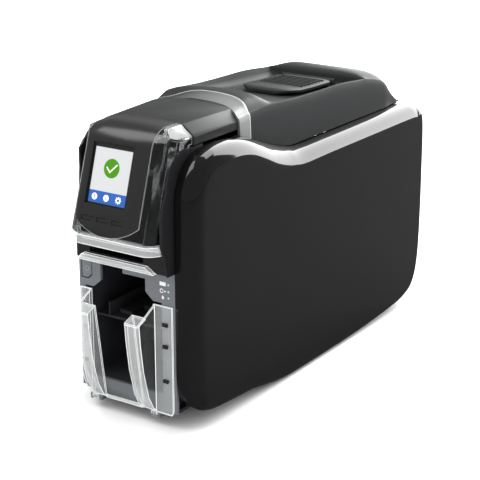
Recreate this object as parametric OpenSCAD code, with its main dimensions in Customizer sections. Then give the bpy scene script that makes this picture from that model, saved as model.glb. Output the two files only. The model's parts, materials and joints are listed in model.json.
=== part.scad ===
// Desktop ID card printer with a top-opening lid, front card hopper and colour screen.
// Millimetres. X runs across the printer, Y from front (negative) to back, Z up from the table.

/* [Overall] */
// Width across the two side covers
body_w = 158; // [150:1:170]
// Width of the centre column between the side covers
core_w = 113.2; // [112:0.4:116]
// Distance from the origin to the side covers' front edge
cover_front = 194; // [192:1:197]
// Distance from the origin to the side covers' rear edge
cover_rear = 219; // [217:1:230]
// Height of the side covers at the front
front_top_z = 248; // [247:0.5:249]
// Height of the side covers at the rear
rear_top_z = 217; // [214:1:220]
// Height of the side covers' bottom edge at the front
front_bottom_z = 12; // [10:1:14]
// Lowest edge of the side covers above the table
rear_bottom_z = 1.2; // [1:0.1:2]
// Height of the rubber feet's tread below the base tray
foot_drop = 2.5; // [2:0.1:4]

/* [Side covers] */
// Corner radius of the broad front and top shoulder
shoulder_r = 15; // [12:1:17]
// Extra shoulder radius where the top edge steps down
wave_r_gain = 6; // [0:1:6]
// Corner radius along the bottom and rear
edge_r = 6; // [4:0.5:8]
// Wall thickness of the side covers
cover_wall = 2.4; // [1.8:0.2:3]
// Seam between a side cover and the centre column
cover_seam = 0.4; // [0.3:0.1:0.8]
// How far the left cover's front edge stands behind the right one's
sweep_back = 16; // [14:0.5:20]
// Length over which the left cover swells out behind its front edge
sweep_len = 60; // [56:1:70]

/* [Cards] */
// Card width
card_w = 54; // [50:1:56]
// Card length
card_l = 85.6; // [80:0.1:86]
// Underside of the card path above the table
card_z = 84; // [82:1:86]
// Gap above the card path for ribbon and card
path_gap = 0.8; // [0.8:0.1:1.2]

/* [Frame] */
// Distance between the inner faces of the two steel side plates
frame_gap = 100; // [98:1:101]
// Thickness of a steel side plate
frame_t = 1.6; // [1:0.2:2]
// Thickness of the base tray's floor
tray_t = 3; // [2:0.5:4]
// Radius of the roller shafts
shaft_r = 3; // [2.5:0.1:4]
// Radius of the stub shafts on the spools and the flipper
stub_r = 5; // [4:0.5:6]
// Radial running clearance of each shaft
shaft_fit = 0.05; // [0.02:0.01:0.08]

/* [Rollers and gears] */
// Radius of the rubber rollers
roller_r = 8; // [7:0.5:9]
// Width of the platen roller's rubber
platen_w = 60; // [56:1:70]
// Tooth module of the gears
tooth_m = 1; // [0.9:0.05:1.1]
// Width of a gear's teeth
gear_w = 4; // [3:0.5:5]
// Teeth on a motor pinion
pinion_teeth = 16; // [14:1:18]
// Teeth on the platen gear
platen_teeth = 40; // [38:1:44]
// Teeth on the take-up spool gear
takeup_teeth = 44; // [42:1:48]
// Teeth on the flipper gear
flipper_teeth = 73; // [71:1:76]
// Thickness of the drive belt
belt_t = 1.2; // [0.8:0.1:1.6]
// Width of the drive belt
belt_w = 4; // [3:0.5:5]

/* [Print module] */
// Outer radius of the full ribbon supply roll
supply_r = 24; // [18:1:25]
// Outer radius of the take-up roll
takeup_r = 14; // [12:0.5:14]
// Width of the ribbon film
film_w = 57; // [55:1:60]
// Thickness of the ribbon film
film_t = 0.3; // [0.2:0.05:0.4]
// Radius of the flipper carriage
flipper_r = 29; // [26:1:30]

/* [Head] */
// Width of the clear hood
hood_w = 108; // [106:1:108]
// Backward tilt of the screen face
face_tilt = 17.2; // [15:0.2:18]
// Wall thickness of the hood and the top cap
hood_wall = 2; // [1.6:0.2:2.4]
// Height of the hood above its lower edge
hood_h = 92; // [88:0.5:94]
// Width of the face panel
face_w = 71; // [69:1:74]
// Depth over which the head's left side curves back, seen from above
head_sweep = 50; // [46:1:54]
// Width of the screen window
window_w = 43.6; // [42:0.2:46]
// Height of the screen window along the face
window_h = 53; // [50:0.5:54]
// Width of one screen button
button_w = 12; // [10:0.5:13]
// Height of one screen button
button_h = 3; // [2.5:0.1:3.4]
// Distance between neighbouring screen buttons
button_pitch = 16.3; // [15:0.1:18]
// Gap around each button
button_gap = 0.3; // [0.2:0.05:0.5]

/* [Lid] */
// Wall thickness of the lid
lid_wall = 2.5; // [2:0.25:3]
// Width of the lid at its lower edge
lid_w = 117.6; // [116:0.4:118]
// Gap between the lid's lower edge and the side covers
lid_gap = 1; // [0.6:0.1:1.5]
// Width of the latch paddle
paddle_w = 62; // [56:1:70]
// Length of the latch paddle
paddle_l = 84; // [78:1:86]
// Thickness of the latch paddle
paddle_t = 3; // [2.5:0.25:3.5]

/* [Front hopper] */
// Distance of the bezel's front face in front of the origin
bezel_front = 192; // [190:0.5:193]
// Thickness of the bezel
bezel_t = 3; // [2:0.25:4]
// Width of the bezel's lower opening
hopper_open_w = 84; // [80:1:85]
// Width of the bezel's upper opening
feed_open_w = 49; // [46:1:52]
// Reach of the clear guards in front of the bezel
guard_reach = 24; // [20:1:26]
// Width of a guard's front strip
guard_strip_w = 14; // [12:0.5:15]
// Width of the finger gap between the guards
finger_gap = 40; // [36:1:44]
// Wall thickness of the guards
guard_wall = 2; // [1.6:0.2:2.4]

/* [Hidden] */
$fn = 48;

// Places shared by the pieces
face_y = -200.7;            // middle of the screen face
hood_low = 172;             // where the hood meets its lip
cap_top_z = hood_low + hood_h;
face_z = hood_low + hood_h / 2 + 3.3;
cover_x = body_w / 2;
core_x = core_w / 2;
rim_x = core_x + cover_seam;
front_y = -cover_front;
rear_y = cover_rear;
frame_in = frame_gap / 2;
frame_out = frame_in + frame_t;
frame_front = -184;
left_front = front_y + sweep_back;  // front edge of the left cover
left_x = hopper_open_w / 2 + 6.4; // half width of the bezel on its left side
frame_rear = 198;
slack = 0.4;                // seam between fixed mouldings
screw_r = 2.5;

// Stretches where the covers' edges step from their front to their rear height
top_wave = [-130, -5];
bottom_wave = [-130, -35];

// Rollers, spools and motors: [y, z] of each axis
roller_z = card_z - roller_r;
pick_axis = [-112, roller_z];
feed_axis = [-84, roller_z];
platen_axis = [-20, roller_z];
takeup_axis = [-78, 152];
supply_axis = [38, 150];
flipper_axis = [86, card_z + path_gap / 2];
arm_axis = [56, 124];
feed_motor_axis = platen_axis - [0, (platen_teeth + pinion_teeth) / 2 * tooth_m];
ribbon_motor_axis = takeup_axis + [0, (takeup_teeth + pinion_teeth) / 2 * tooth_m];
flipper_motor_axis = flipper_axis + [0, (flipper_teeth + pinion_teeth) / 2 * tooth_m];
gear_x = frame_out + 0.8;
belt_x = gear_x + gear_w + 1.6;
pulley_r = 7;
shaft_left = -frame_out - 0.8;
lid_axis = [204, 211];
guard_axis = [-191.4, 10];

// Rear panel
panel_y = rear_y - 13;
panel_t = 3;
panel_top = lid_axis[1] + 2;
hinge_notch_z = lid_axis[1] - 6;

// Card hopper
liner_t = 2.5;
liner_x = hopper_open_w / 2 + 1.6;
liner_front = -bezel_front + bezel_t + slack;
liner_back = -98;
liner_bottom = 27;
hopper_top = 143.2;
hopper_floor = 30;
feed_open_x = feed_open_w / 2;
strip_in = finger_gap / 2;
strip_out = strip_in + guard_strip_w;
guard_back = -bezel_front - slack;
guard_front = guard_back - guard_reach;
guard_top = 113;
guard_low = 13;

// Small maths
function mix(a, b, t) = a + (b - a) * t;
function clamp01(t) = min(max(t, 0), 1);
function ease(t) = clamp01(t) * clamp01(t) * (3 - 2 * clamp01(t));
function wave(y, span, a, b) = mix(a, b, ease((y - span[0]) / (span[1] - span[0])));
function cover_top(y) = wave(y, top_wave, front_top_z, rear_top_z);
function cover_bottom(y) = wave(y, bottom_wave, front_bottom_z, rear_bottom_z);
function spline(a, b, c, d, t) =
    0.5 * (2 * b + (c - a) * t + (2 * a - 5 * b + 4 * c - d) * t * t + (3 * b - a - 3 * c + d) * t * t * t);
function at(list, i) = list[(i + len(list)) % len(list)];
function smooth_loop(p, n) =
    [for (i = [0:len(p) - 1]) for (k = [0:n - 1]) spline(at(p, i - 1), p[i], at(p, i + 1), at(p, i + 2),
        k / n)];
function hold(list, i) = list[min(max(i, 0), len(list) - 1)];
function smooth_rows(p, n) = concat([for (i = [0:len(p) - 2]) for (k = [0:n - 1])
    spline(hold(p, i - 1), p[i], p[i + 1], hold(p, i + 2), k / n)], [p[len(p) - 1]]);
function unit(v) = v / norm(v);

// Building blocks
module block(x, y, z) translate([x[0], y[0], z[0]]) cube([x[1] - x[0], y[1] - y[0], z[1] - z[0]]);
module along_x(x0, x1) translate([x0, 0, 0]) rotate([90, 0, 90]) linear_extrude(x1 - x0) children();
module along_y(y0, y1) translate([0, y1, 0]) rotate([90, 0, 0]) linear_extrude(y1 - y0) children();
module rod(x0, x1, axis, r) translate([x0, axis[0], axis[1]]) rotate([0, 90, 0]) cylinder(r = r, h = x1 - x0);
module both_sides() { children(); mirror([1, 0, 0]) children(); }
module on_face() translate([0, face_y, face_z]) rotate([-face_tilt, 0, 0]) children();
module round_rect(w, h, r) {
    square([w - 2 * r, h], center = true);
    square([w, h - 2 * r], center = true);
    for (x = [-1, 1], y = [-1, 1]) translate([x * (w / 2 - r), y * (h / 2 - r)]) circle(r);
}

// Side cover: rings of points stepped inwards round a wavy outline
cover_outline = smooth_loop([
    [front_y, 70], [front_y + 1, 42], [front_y + 8, front_bottom_z + 11],
    [front_y + 24, front_bottom_z + 3.5],
    [-142, front_bottom_z + 0.5], [-104, cover_bottom(-104)], [-80, cover_bottom(-80)],
    [-56, cover_bottom(-56)],
    [-30, rear_bottom_z], [30, rear_bottom_z], [90, rear_bottom_z + 0.8], [150, rear_bottom_z + 4],
    [rear_y - 33, rear_bottom_z + 8.5], [rear_y - 13, rear_bottom_z + 20], [rear_y - 3, rear_bottom_z + 47],
    [rear_y, 100], [rear_y - 2, 150], [rear_y - 8, rear_top_z - 31], [rear_y - 19, rear_top_z - 10],
    [rear_y - 47, rear_top_z - 1], [110, rear_top_z], [40, rear_top_z], [-12, cover_top(-12)],
    [-36, cover_top(-36)], [-60, cover_top(-60)], [-84, cover_top(-84)], [-108, cover_top(-108)],
    [-134, front_top_z], [front_y + 34, front_top_z - 2.5], [front_y + 14, front_top_z - 12],
    [front_y + 2, front_top_z - 33], [front_y, front_top_z - 68], [front_y, 120]], 3);
function outline_normal(i) =
    let (d = unit(at(cover_outline, i + 1) - at(cover_outline, i - 1))) [d[1], -d[0]];
function edge_radius(i) =
    let (n = outline_normal(i),
         broad = ease(0.5 + 0.63 * (n[1] - n[0])),
         step = exp(-pow((cover_outline[i][0] + 58) / 34, 2)) * max(n[1], 0))
    mix(edge_r, shoulder_r, broad) + wave_r_gain * step;
// One ring: angle a runs from 0 at the rim side to 90 at the flat face; skin is the depth below the outside
function cover_ring(a, skin) = [for (i = [0:len(cover_outline) - 1])
    let (r = edge_radius(i), p = cover_outline[i] - (r * (1 - cos(a)) + skin) * outline_normal(i))
    [cover_x - r * (1 - sin(a)) - skin, p[0], p[1]]];
function rim_ring(skin) = [for (i = [0:len(cover_outline) - 1])
    let (p = cover_outline[i] - skin * outline_normal(i)) [rim_x, p[0], p[1]]];
function ring_band(a, b, n) = [for (i = [0:n - 1]) each
    [[a * n + i, b * n + i, a * n + (i + 1) % n], [a * n + (i + 1) % n, b * n + i, b * n + (i + 1) % n]]];

// The left cover's points: its front edge set back and its swell growing out of the rim
function swept(p, skin) =
    let (y = p[1] + sweep_back * pow(clamp01((-60 - p[1]) / (cover_front - 60)), 2),
         share = mix(0.05, 1, sin(90 * clamp01((y - left_front) / sweep_len))))
    [max(rim_x, rim_x + (p[0] + skin - rim_x) * share - skin), y, p[2]];
// The left cover's flat is bent, so it is closed with fans from a row of points along its middle
spine_y = [for (k = [0:30]) mix(front_y + 26, rear_y - 26, k / 30)];
function spine(skin) = [for (y = spine_y) [cover_x - skin, y, 120]];
function nearest(p) = round(clamp01((p[1] - spine_y[0]) / (spine_y[30] - spine_y[0])) * 30);
function fans(ring, first, row) = [for (i = [0:len(ring) - 1])
    let (j = (i + 1) % len(ring), a = nearest(ring[i]), b = nearest(ring[j]), d = sign(b - a))
    each concat([[first + i, first + j, row + a]],
        d == 0 ? [] : [for (k = [a:d:b - d]) [row + k, first + j, row + k + d]])];

module side_cover(left = false) {
    n = len(cover_outline);
    rings = [rim_ring(0.8), cover_ring(0, 0), cover_ring(22, 0), cover_ring(45, 0), cover_ring(68, 0),
        cover_ring(90, 0), cover_ring(90, cover_wall), cover_ring(50, cover_wall),
        rim_ring(0.8 + cover_wall)];
    outer = 5;
    inner = 6;
    last = len(rings) - 1;
    points = [for (k = [0:last]) for (p = rings[k])
        left ? swept(p, k < inner || k == last ? 0 : cover_wall) : p];
    rows = left ? [for (skin = [0, cover_wall]) for (p = spine(skin)) swept(p, skin)] : [];
    row = len(points);
    polyhedron(concat(points, rows), concat(
        [for (k = [0:outer - 1]) each ring_band(k, k + 1, n)],
        left ? [for (f = fans(rings[outer], outer * n, row)) [f[2], f[1], f[0]]]
             : [[for (i = [n - 1:-1:0]) outer * n + i]],
        [for (k = [inner:last - 1]) each ring_band(k, k + 1, n)],
        left ? fans(rings[inner], inner * n, row + len(spine_y)) : [[for (i = [0:n - 1]) inner * n + i]],
        ring_band(last, 0, n)));
}
module right_cover() { color("#101012") side_cover(); }
module left_cover() { color("#101012") mirror([1, 0, 0]) side_cover(left = true); }

// Base tray and what stands on it
tray_ys = [for (y = [frame_front - 4:10:panel_y - 4]) y];
function tray_line(h) = [for (y = tray_ys) [y, cover_bottom(y) + foot_drop + h]];
module base_tray() {
    side_h = 22;
    wall = 2;
    front = tray_ys[0];
    rear = tray_ys[len(tray_ys) - 1];
    color("#1b1b1d") {
        difference() {
            along_x(-core_x, core_x)
                polygon(concat(tray_line(0), [for (i = [len(tray_ys) - 1:-1:0]) tray_line(tray_t)[i]]));
            // corner cut off under the left cover's front
            linear_extrude(60)
                polygon([[-core_x - 1, front - 1], [-left_x + 1.4, front - 1], [-core_x - 1, front + 20]]);
        }
        both_sides() difference() {
            along_x(core_x - wall, core_x)
                polygon(concat(tray_line(tray_t), [for (i = [len(tray_ys) - 1:-1:0]) tray_line(side_h)[i]]));
            along_x(core_x - wall - 1, core_x + 1)
                polygon([[front - 1, 0], [front + 26, 0], [front + 26, 50], [front - 1, 50]]);
        }
        // ribs that carry the reject bin
        for (x = [-26, 22]) block([x, x + 4], [bin_front + 2, panel_y - 6],
            [rear_bottom_z + foot_drop + 1, bin_z[0] - 0.4]);
        // rear sill that carries the rear panel
        block([-core_x, core_x], [rear - 0.5, panel_y + panel_t],
            [rear_bottom_z + foot_drop + 4, rear_bottom_z + foot_drop + 8]);
    }
}
foot_ys = [-138, 168];
foot_x = 42;
foot_r = 8;
module rubber_feet() {
    color("#202020") for (x = [-foot_x, foot_x], y = foot_ys) translate([x, y, 0])
        cylinder(r1 = foot_r - 1, r2 = foot_r, h = cover_bottom(y + foot_r) + foot_drop - 0.3, $fn = 40);
}

// Steel side plates with a bearing hole for each shaft
shaft_holes = [pick_axis, feed_axis, platen_axis];
stub_holes = [takeup_axis, supply_axis, flipper_axis, arm_axis];
tie_axes = [[-150, 214], [12, 186], [150, 176]];
tie_r = 4;
plate_front_top = 228;
plate_rear_top = 196;
module frame_plate(x0, front) difference() {
    along_x(x0, x0 + frame_t) polygon(concat(
        [for (y = [front:12:frame_rear]) [y, cover_bottom(y) + foot_drop + tray_t + 0.3]],
        [[frame_rear, 180], [184, plate_rear_top], [-20, plate_rear_top], [-44, 206],
        [-92, plate_front_top], [front + 14, plate_front_top], [front, 214]]));
    for (a = shaft_holes) rod(x0 - 1, x0 + frame_t + 1, a, shaft_r + shaft_fit);
    for (a = stub_holes) rod(x0 - 1, x0 + frame_t + 1, a, stub_r + shaft_fit);
    // lightening windows
    along_x(x0 - 1, x0 + frame_t + 1) {
        translate([134, 130]) round_rect(40, 36, 8);
        translate([-20, 168]) round_rect(40, 20, 8);
        translate([160, 70]) round_rect(40, 36, 8);
        translate([-150, 170]) round_rect(30, 40, 8);
    }
}
motor_hole_r = 5;
module left_frame() { color("#9a9da0") frame_plate(-frame_out, left_front + 1); }
module right_frame() {
    color("#9a9da0") difference() {
        frame_plate(frame_in, frame_front);
        for (a = [feed_motor_axis, ribbon_motor_axis, flipper_motor_axis])
            rod(frame_in - 1, frame_out + 1, a, motor_hole_r);
    }
}
module tie_bars() { color("#b5b8ba") for (a = tie_axes) rod(-frame_in, frame_in, a, tie_r); }

// Gears: straight-sided teeth narrowed by a little backlash
backlash = 0.25;
function tooth(m, n, k) =
    let (r = m * n / 2, root = r - 1.2 * m, tip = r + 0.85 * m, step = 360 / n,
        q = 90 / n - backlash / r * 28.6)
    [for (p = [[root, -1.55], [r - 0.4 * m, -1.22], [r, -1], [r + 0.45 * m, -0.68], [tip, -0.34],
               [tip, 0.34], [r + 0.45 * m, 0.68], [r, 1], [r - 0.4 * m, 1.22], [root, 1.55]])
        p[0] * [cos(k * step + p[1] * q), sin(k * step + p[1] * q)]];
module gear(n, turn = 0) rotate(turn) polygon([for (k = [0:n - 1]) each tooth(tooth_m, n, k)]);
module gear_at(axis, n, turn, bore) along_x(gear_x, gear_x + gear_w) translate(axis) difference() {
    gear(n, turn);
    circle(bore);
}
// A gear's partner sits straight above or below it, so one shows a tooth and the other a gap there
module platen_gear() { color("#d8d4c4") gear_at(platen_axis, platen_teeth, -90, shaft_r); }
module flipper_gear() { color("#d8d4c4") gear_at(flipper_axis, flipper_teeth, 90, stub_r); }
pinion_shaft_r = 2;
module pinion(axis, turn) color("#c9a45a") {
    along_x(gear_x, gear_x + gear_w) translate(axis) gear(pinion_teeth, turn);
    rod(frame_in - 10, gear_x + gear_w, axis, pinion_shaft_r);
}
half_tooth = 180 / pinion_teeth;
module feed_pinion() pinion(feed_motor_axis, 90 + half_tooth);
module ribbon_pinion() pinion(ribbon_motor_axis, -90 + half_tooth);
module flipper_pinion() pinion(flipper_motor_axis, -90 + half_tooth);

module motor(axis, size, length) color("#3a3c40") difference() {
    union() {
        along_x(frame_in - length, frame_in - 1.2) translate(axis) round_rect(size, size, 4);
        rod(frame_in - 1.2, frame_in, axis, motor_hole_r + 4);
    }
    rod(frame_in - 14, frame_in + 1, axis, pinion_shaft_r + shaft_fit);
}
module feed_motor() motor(feed_motor_axis, 35, 36);
module ribbon_motor() motor(ribbon_motor_axis, 28, 32);
module flipper_motor() motor(flipper_motor_axis, 28, 32);

// Rubber rollers on steel shafts, driven by one belt
module sleeve(axis, w) color("#26262a") difference() {
    rod(-w / 2, w / 2, axis, roller_r);
    rod(-w / 2 - 1, w / 2 + 1, axis, shaft_r);
}
module pulley_shaft(axis) color("#b5b8ba") {
    rod(shaft_left, belt_x + belt_w + 1, axis, shaft_r);
    rod(belt_x, belt_x + belt_w, axis, pulley_r);
}
pick_w = 24;
feed_w = 44;
module pick_roller() sleeve(pick_axis, pick_w);
module feed_roller() sleeve(feed_axis, feed_w);
module platen_roller() sleeve(platen_axis, platen_w);
module pick_shaft() pulley_shaft(pick_axis);
module feed_shaft() pulley_shaft(feed_axis);
module platen_shaft() pulley_shaft(platen_axis);
module belt_loop(r) {
    translate(pick_axis) circle(r);
    translate(platen_axis) circle(r);
    translate(pick_axis - [0, r]) square([platen_axis[0] - pick_axis[0], 2 * r]);
}
module drive_belt() {
    color("#1c1c1c") along_x(belt_x + 0.3, belt_x + belt_w - 0.3) difference() {
        belt_loop(pulley_r + 0.15 + belt_t);
        belt_loop(pulley_r + 0.15);
    }
}

// Print module: film spools, print head on its lifting arm, card flipper
spool_flange_t = 1.6;
module spool(axis, roll_r, core_r) {
    half = film_w / 2 + 1;
    color("#2d6fae") {
        rod(-frame_out + 0.2, frame_out - 0.2, axis, stub_r);
        rod(-half, half, axis, core_r);
        for (x = [-half, half - spool_flange_t]) rod(x, x + spool_flange_t, axis, roll_r + 1);
    }
    color("#16161c") rod(-half + spool_flange_t, half - spool_flange_t, axis, roll_r);
}
module supply_spool() spool(supply_axis, supply_r, 8);
module takeup_spool() {
    spool(takeup_axis, takeup_r, 8);
    color("#2d6fae") {
        rod(frame_out - 0.2, gear_x + gear_w, takeup_axis, stub_r);
        along_x(gear_x, gear_x + gear_w) translate(takeup_axis) gear(takeup_teeth, 90);
    }
}
// The film leaves the supply roll, passes over the platen and climbs to the take-up roll
film_z = card_z + path_gap / 2;
film_line = [
    supply_axis + (supply_r + 1.1) * [cos(209), sin(209)],
    [2, card_z + 4], [-6, film_z], [-34, film_z], [-42, card_z + 4],
    takeup_axis + (takeup_r + 1.1) * [cos(-38), sin(-38)]];
function film_side(h) = [for (i = [0:len(film_line) - 1])
    let (d = unit(hold(film_line, i + 1) - hold(film_line, i - 1))) film_line[i] + h * [-d[1], d[0]]];
module ribbon_film() {
    back = film_side(-film_t / 2);
    color("#5a3d7a") along_x(-film_w / 2, film_w / 2)
        polygon(concat(film_side(film_t / 2), [for (i = [len(back) - 1:-1:0]) back[i]]));
}
head_half = 29;
head_y = [platen_axis[0] - 10, platen_axis[0] + 10];
head_top = 112;
arm_t = 2;
arm_x = 44;
module print_head() color("#c7cacc") {
    // heat sink with fins, and the ceramic bar that presses on the card
    block([-head_half, head_half], [head_y[0], head_y[1]], [head_top - 14, head_top]);
    for (x = [-head_half:6:head_half - 2])
        block([x, x + 2], [head_y[0], head_y[1]], [head_top - 20, head_top - 13]);
    block([-head_half, head_half], [platen_axis[0] - 3, platen_axis[0] + 3],
        [card_z + path_gap, head_top - 13]);
}
module head_arm() color("#84888c") difference() {
    union() {
        both_sides() {
            along_x(arm_x, arm_x + arm_t) {
                translate(arm_axis) circle(stub_r + 4);
                polygon([[arm_axis[0], arm_axis[1] - 8], [arm_axis[0], arm_axis[1] + 8],
                    [head_y[0], head_top + 6], [head_y[0], head_top - 4], [head_y[1], head_top - 4]]);
            }
            rod(arm_x + arm_t, frame_out - 0.2, arm_axis, stub_r);
        }
        block([-arm_x, arm_x], [head_y[0], head_y[1]], [head_top, head_top + 4]);
    }
    both_sides() rod(arm_x - 1, frame_out + 1, arm_axis, 2);
}
flipper_half = 34;
flipper_disc_t = 3;
module flipper_carriage() {
    guide = path_gap / 2 + 0.4;
    color("#3b3e44") {
        both_sides() {
            difference() {
                rod(flipper_half - flipper_disc_t, flipper_half, flipper_axis, flipper_r);
                block([0, flipper_half + 1],
                    [flipper_axis[0] - flipper_r - 1, flipper_axis[0] + flipper_r + 1],
                    [flipper_axis[1] - guide, flipper_axis[1] + guide]);
                for (a = [45:90:315]) rod(flipper_half - flipper_disc_t - 1, flipper_half + 1,
                    flipper_axis + 17 * [cos(a), sin(a)], 5);
            }
            rod(flipper_half, gear_x, flipper_axis, stub_r);
        }
        for (s = [-1, 1]) block([-flipper_half + 1, flipper_half - 1],
            [flipper_axis[0] - 22, flipper_axis[0] + 22],
            [flipper_axis[1] + s * (guide + 1.5) - 1.5, flipper_axis[1] + s * (guide + 1.5) + 1.5]);
    }
    color("#b5b8ba") rod(gear_x, gear_x + gear_w, flipper_axis, stub_r);
}

// Rear: panel, sockets, fan, supply, board and reject bin
bin_x = 33;
bin_z = [28, 78];
bin_front = 126;
bin_wall = 2;
fan_c = [0, 152];
fan_size = 40;
fan_t = 10;
socket_z = 106;
power_c = [-34, socket_z];
power_size = [22, 16];
usb_c = [-6, socket_z];
usb_size = [13, 11];
network_c = [18, socket_z];
network_size = [16, 13.5];
lock_c = [44, socket_z];
module rear_panel() color("#17171a") difference() {
    union() {
        block([-core_x, core_x], [panel_y, panel_y + panel_t], [rear_bottom_z + foot_drop + 8.4, panel_top]);
        // lugs for the lid's hinge pins
        both_sides() for (x = [30, 46]) along_x(x, x + 4) {
            translate(lid_axis) circle(4.4);
            polygon([[panel_y, hinge_notch_z - 8], [panel_y + panel_t, hinge_notch_z - 8],
                [lid_axis[0] + 4.4, lid_axis[1]], [lid_axis[0] - 4.4, lid_axis[1]],
                [panel_y, hinge_notch_z - 2]]);
        }
    }
    // notches in which the lid's hinge arms swing
    both_sides() block([34, 46], [panel_y - 1, panel_y + panel_t + 1], [hinge_notch_z, panel_top + 1]);
    both_sides() rod(28, 52, lid_axis, hinge_pin_r);
    block([-bin_x - 1, bin_x + 1], [panel_y - 1, panel_y + panel_t + 1], [bin_z[0] - 1, bin_z[1] + 1]);
    along_y(panel_y - 1, panel_y + panel_t + 1) {
        translate(power_c) square(power_size + [0.8, 0.8], center = true);
        translate(usb_c) square(usb_size + [0.8, 0.8], center = true);
        translate(network_c) square(network_size + [0.8, 0.8], center = true);
        translate(lock_c) round_rect(7, 3, 1.4);
        // vents over the fan and beside it
        for (r = [6.5:5.5:18]) for (k = [0:1:floor(r * 0.9) - 1])
            translate(fan_c + r * [cos(k * 360 / floor(r * 0.9)), sin(k * 360 / floor(r * 0.9))])
                circle(2, $fn = 16);
        for (z = [128:6:182], x = [-40, 40]) translate([x, z]) round_rect(20, 2.4, 1.1);
    }
}
module socket_shell(c, size, depth, wall) {
    along_y(panel_y - depth, panel_y + panel_t) translate(c) difference() {
        square(size, center = true);
        square(size - [2 * wall, 2 * wall], center = true);
    }
    along_y(panel_y - depth - 2, panel_y - depth) translate(c) square(size + [2, 2], center = true);
}
module power_socket() {
    color("#0d0d0e") socket_shell(power_c, power_size, 16, 2);
    color("#c9b27a") for (x = [-5, 0, 5]) along_y(panel_y - 17, panel_y - 4) translate(power_c + [x, 0])
        square([1.6, 5], center = true);
}
module usb_socket() {
    color("#b8bcc0") socket_shell(usb_c, usb_size, 14, 0.8);
    color("#e8e8e8") along_y(panel_y - 15, panel_y - 1) translate(usb_c) square([6, 3.4], center = true);
}
module network_socket() {
    color("#b8bcc0") socket_shell(network_c, network_size, 15, 0.8);
    color("#d8b24a") for (k = [-3.5:1:3.5]) along_y(panel_y - 16, panel_y - 5)
        translate(network_c + [k, network_size[1] / 2 - 2.2]) square([0.4, 1.2], center = true);
}
fan_bore = fan_size / 2 - 1.2;
fan_y = panel_y - slack - fan_t;
module fan_frame() color("#141416") {
    along_y(fan_y, fan_y + fan_t) translate(fan_c) difference() {
        round_rect(fan_size, fan_size, 3);
        circle(fan_bore);
        for (x = [-1, 1], z = [-1, 1]) translate([x, z] * (fan_size / 2 - 4)) circle(1.6);
    }
    // motor plate held by three arms, with the rotor's pin
    along_y(fan_y, fan_y + 1.6) translate(fan_c) {
        circle(8);
        for (a = [30, 150, 270]) rotate(a) translate([0, -1.2]) square([fan_bore + 1, 2.4]);
    }
    along_y(fan_y + 1.6, fan_y + 7) translate(fan_c) circle(1.5);
}
module fan_rotor() color("#232326") {
    along_y(fan_y + 2, fan_y + 9) translate(fan_c) difference() {
        circle(8.5);
        circle(1.5 + shaft_fit);
    }
    along_y(fan_y + 8, fan_y + 9) translate(fan_c) circle(8.5);
    for (k = [0:6]) translate([fan_c[0], fan_y + 5.5, fan_c[1]]) rotate([0, k * 360 / 7, 0])
        translate([12.8, 0, 0]) rotate([40, 0, 0]) cube([9.6, 1, 7.6], center = true);
}
supply_floor = rear_bottom_z + foot_drop + tray_t + 0.3;
module power_supply() color("#a8acb0") difference() {
    block([-46, 46], [14, 118], [supply_floor, supply_floor + 15]);
    for (y = [24:8:108]) block([-30, 30], [y, y + 3], [supply_floor + 13, supply_floor + 16]);
}
board_x = -frame_out - 4.4;
module main_board() {
    color("#1e5a36") block([board_x - 1.6, board_x], [-60, 150], [60, 160]);
    color("#b5b8ba") for (y = [-52, 142], z = [68, 152]) rod(board_x, -frame_out, [y, z], 2.5);
    color("#1a1a1a") {
        block([board_x - 3.6, board_x - 1.6], [-10, 18], [90, 118]);
        block([board_x - 4.2, board_x - 1.6], [60, 76], [84, 108]);
        for (y = [-44:14:40]) block([board_x - 9.6, board_x - 1.6], [y, y + 10], [144, 150]);
    }
    color("#20406a") for (z = [70, 84]) rod(board_x - 13.6, board_x - 1.6, [116, z], 5);
}
module reject_bin() color("#1c1c1f") difference() {
    block([-bin_x, bin_x], [bin_front, panel_y + panel_t], bin_z);
    block([-bin_x + bin_wall, bin_x - bin_wall], [bin_front + bin_wall, panel_y - 0.4],
        [bin_z[0] + bin_wall, bin_z[1] + 1]);
    // front wall lowered for cards from the flipper, finger scoop at the rear
    block([-bin_x + bin_wall, bin_x - bin_wall], [bin_front - 1, bin_front + 3],
        [bin_z[1] - 14, bin_z[1] + 1]);
    translate([0, panel_y + panel_t + 6, (bin_z[0] + bin_z[1]) / 2]) rotate([0, 90, 0])
        cylinder(r = 8, h = 26, center = true);
}

// Head: front frame, hood, lip, face panel, display and top cap
hood_x = hood_w / 2;
cap_x = core_x - 0.2;
cap_low_z = front_top_z + 1;
round_r = 22;
seam_r = 150;
seam_y = -152;
face_left = face_w / 2 + 1.5;
function face_at(s) = [face_y + s * sin(face_tilt), face_z + s * cos(face_tilt)];
// Side view of the hood, t millimetres below its outside; low is where it ends
function hood_profile(t, low, rear) =
    let (r = round_r - t, top = cap_top_z - t, y0 = face_y + t / cos(face_tilt),
         corner_y = y0 + (top - face_z) * tan(face_tilt),
         c = [corner_y + r * tan(45 - face_tilt / 2), top - r])
    concat([[y0 + (low - face_z) * tan(face_tilt), low]],
        [for (k = [0:8]) let (a = 180 - face_tilt - k * (90 - face_tilt) / 8) c + r * [cos(a), sin(a)]],
        [[rear, top]]);
// Front view of the head's roof with its sloping shoulders
module roof(half, top) polygon(concat(
    [[half, 100], [half, top - 8], [half - 0.8, top - 7], [half - 14, top - 0.5], [half - 17, top]],
    [[17 - half, top], [14 - half, top - 0.5], [0.8 - half, top - 7], [-half, top - 8], [-half, 100]]));
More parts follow.
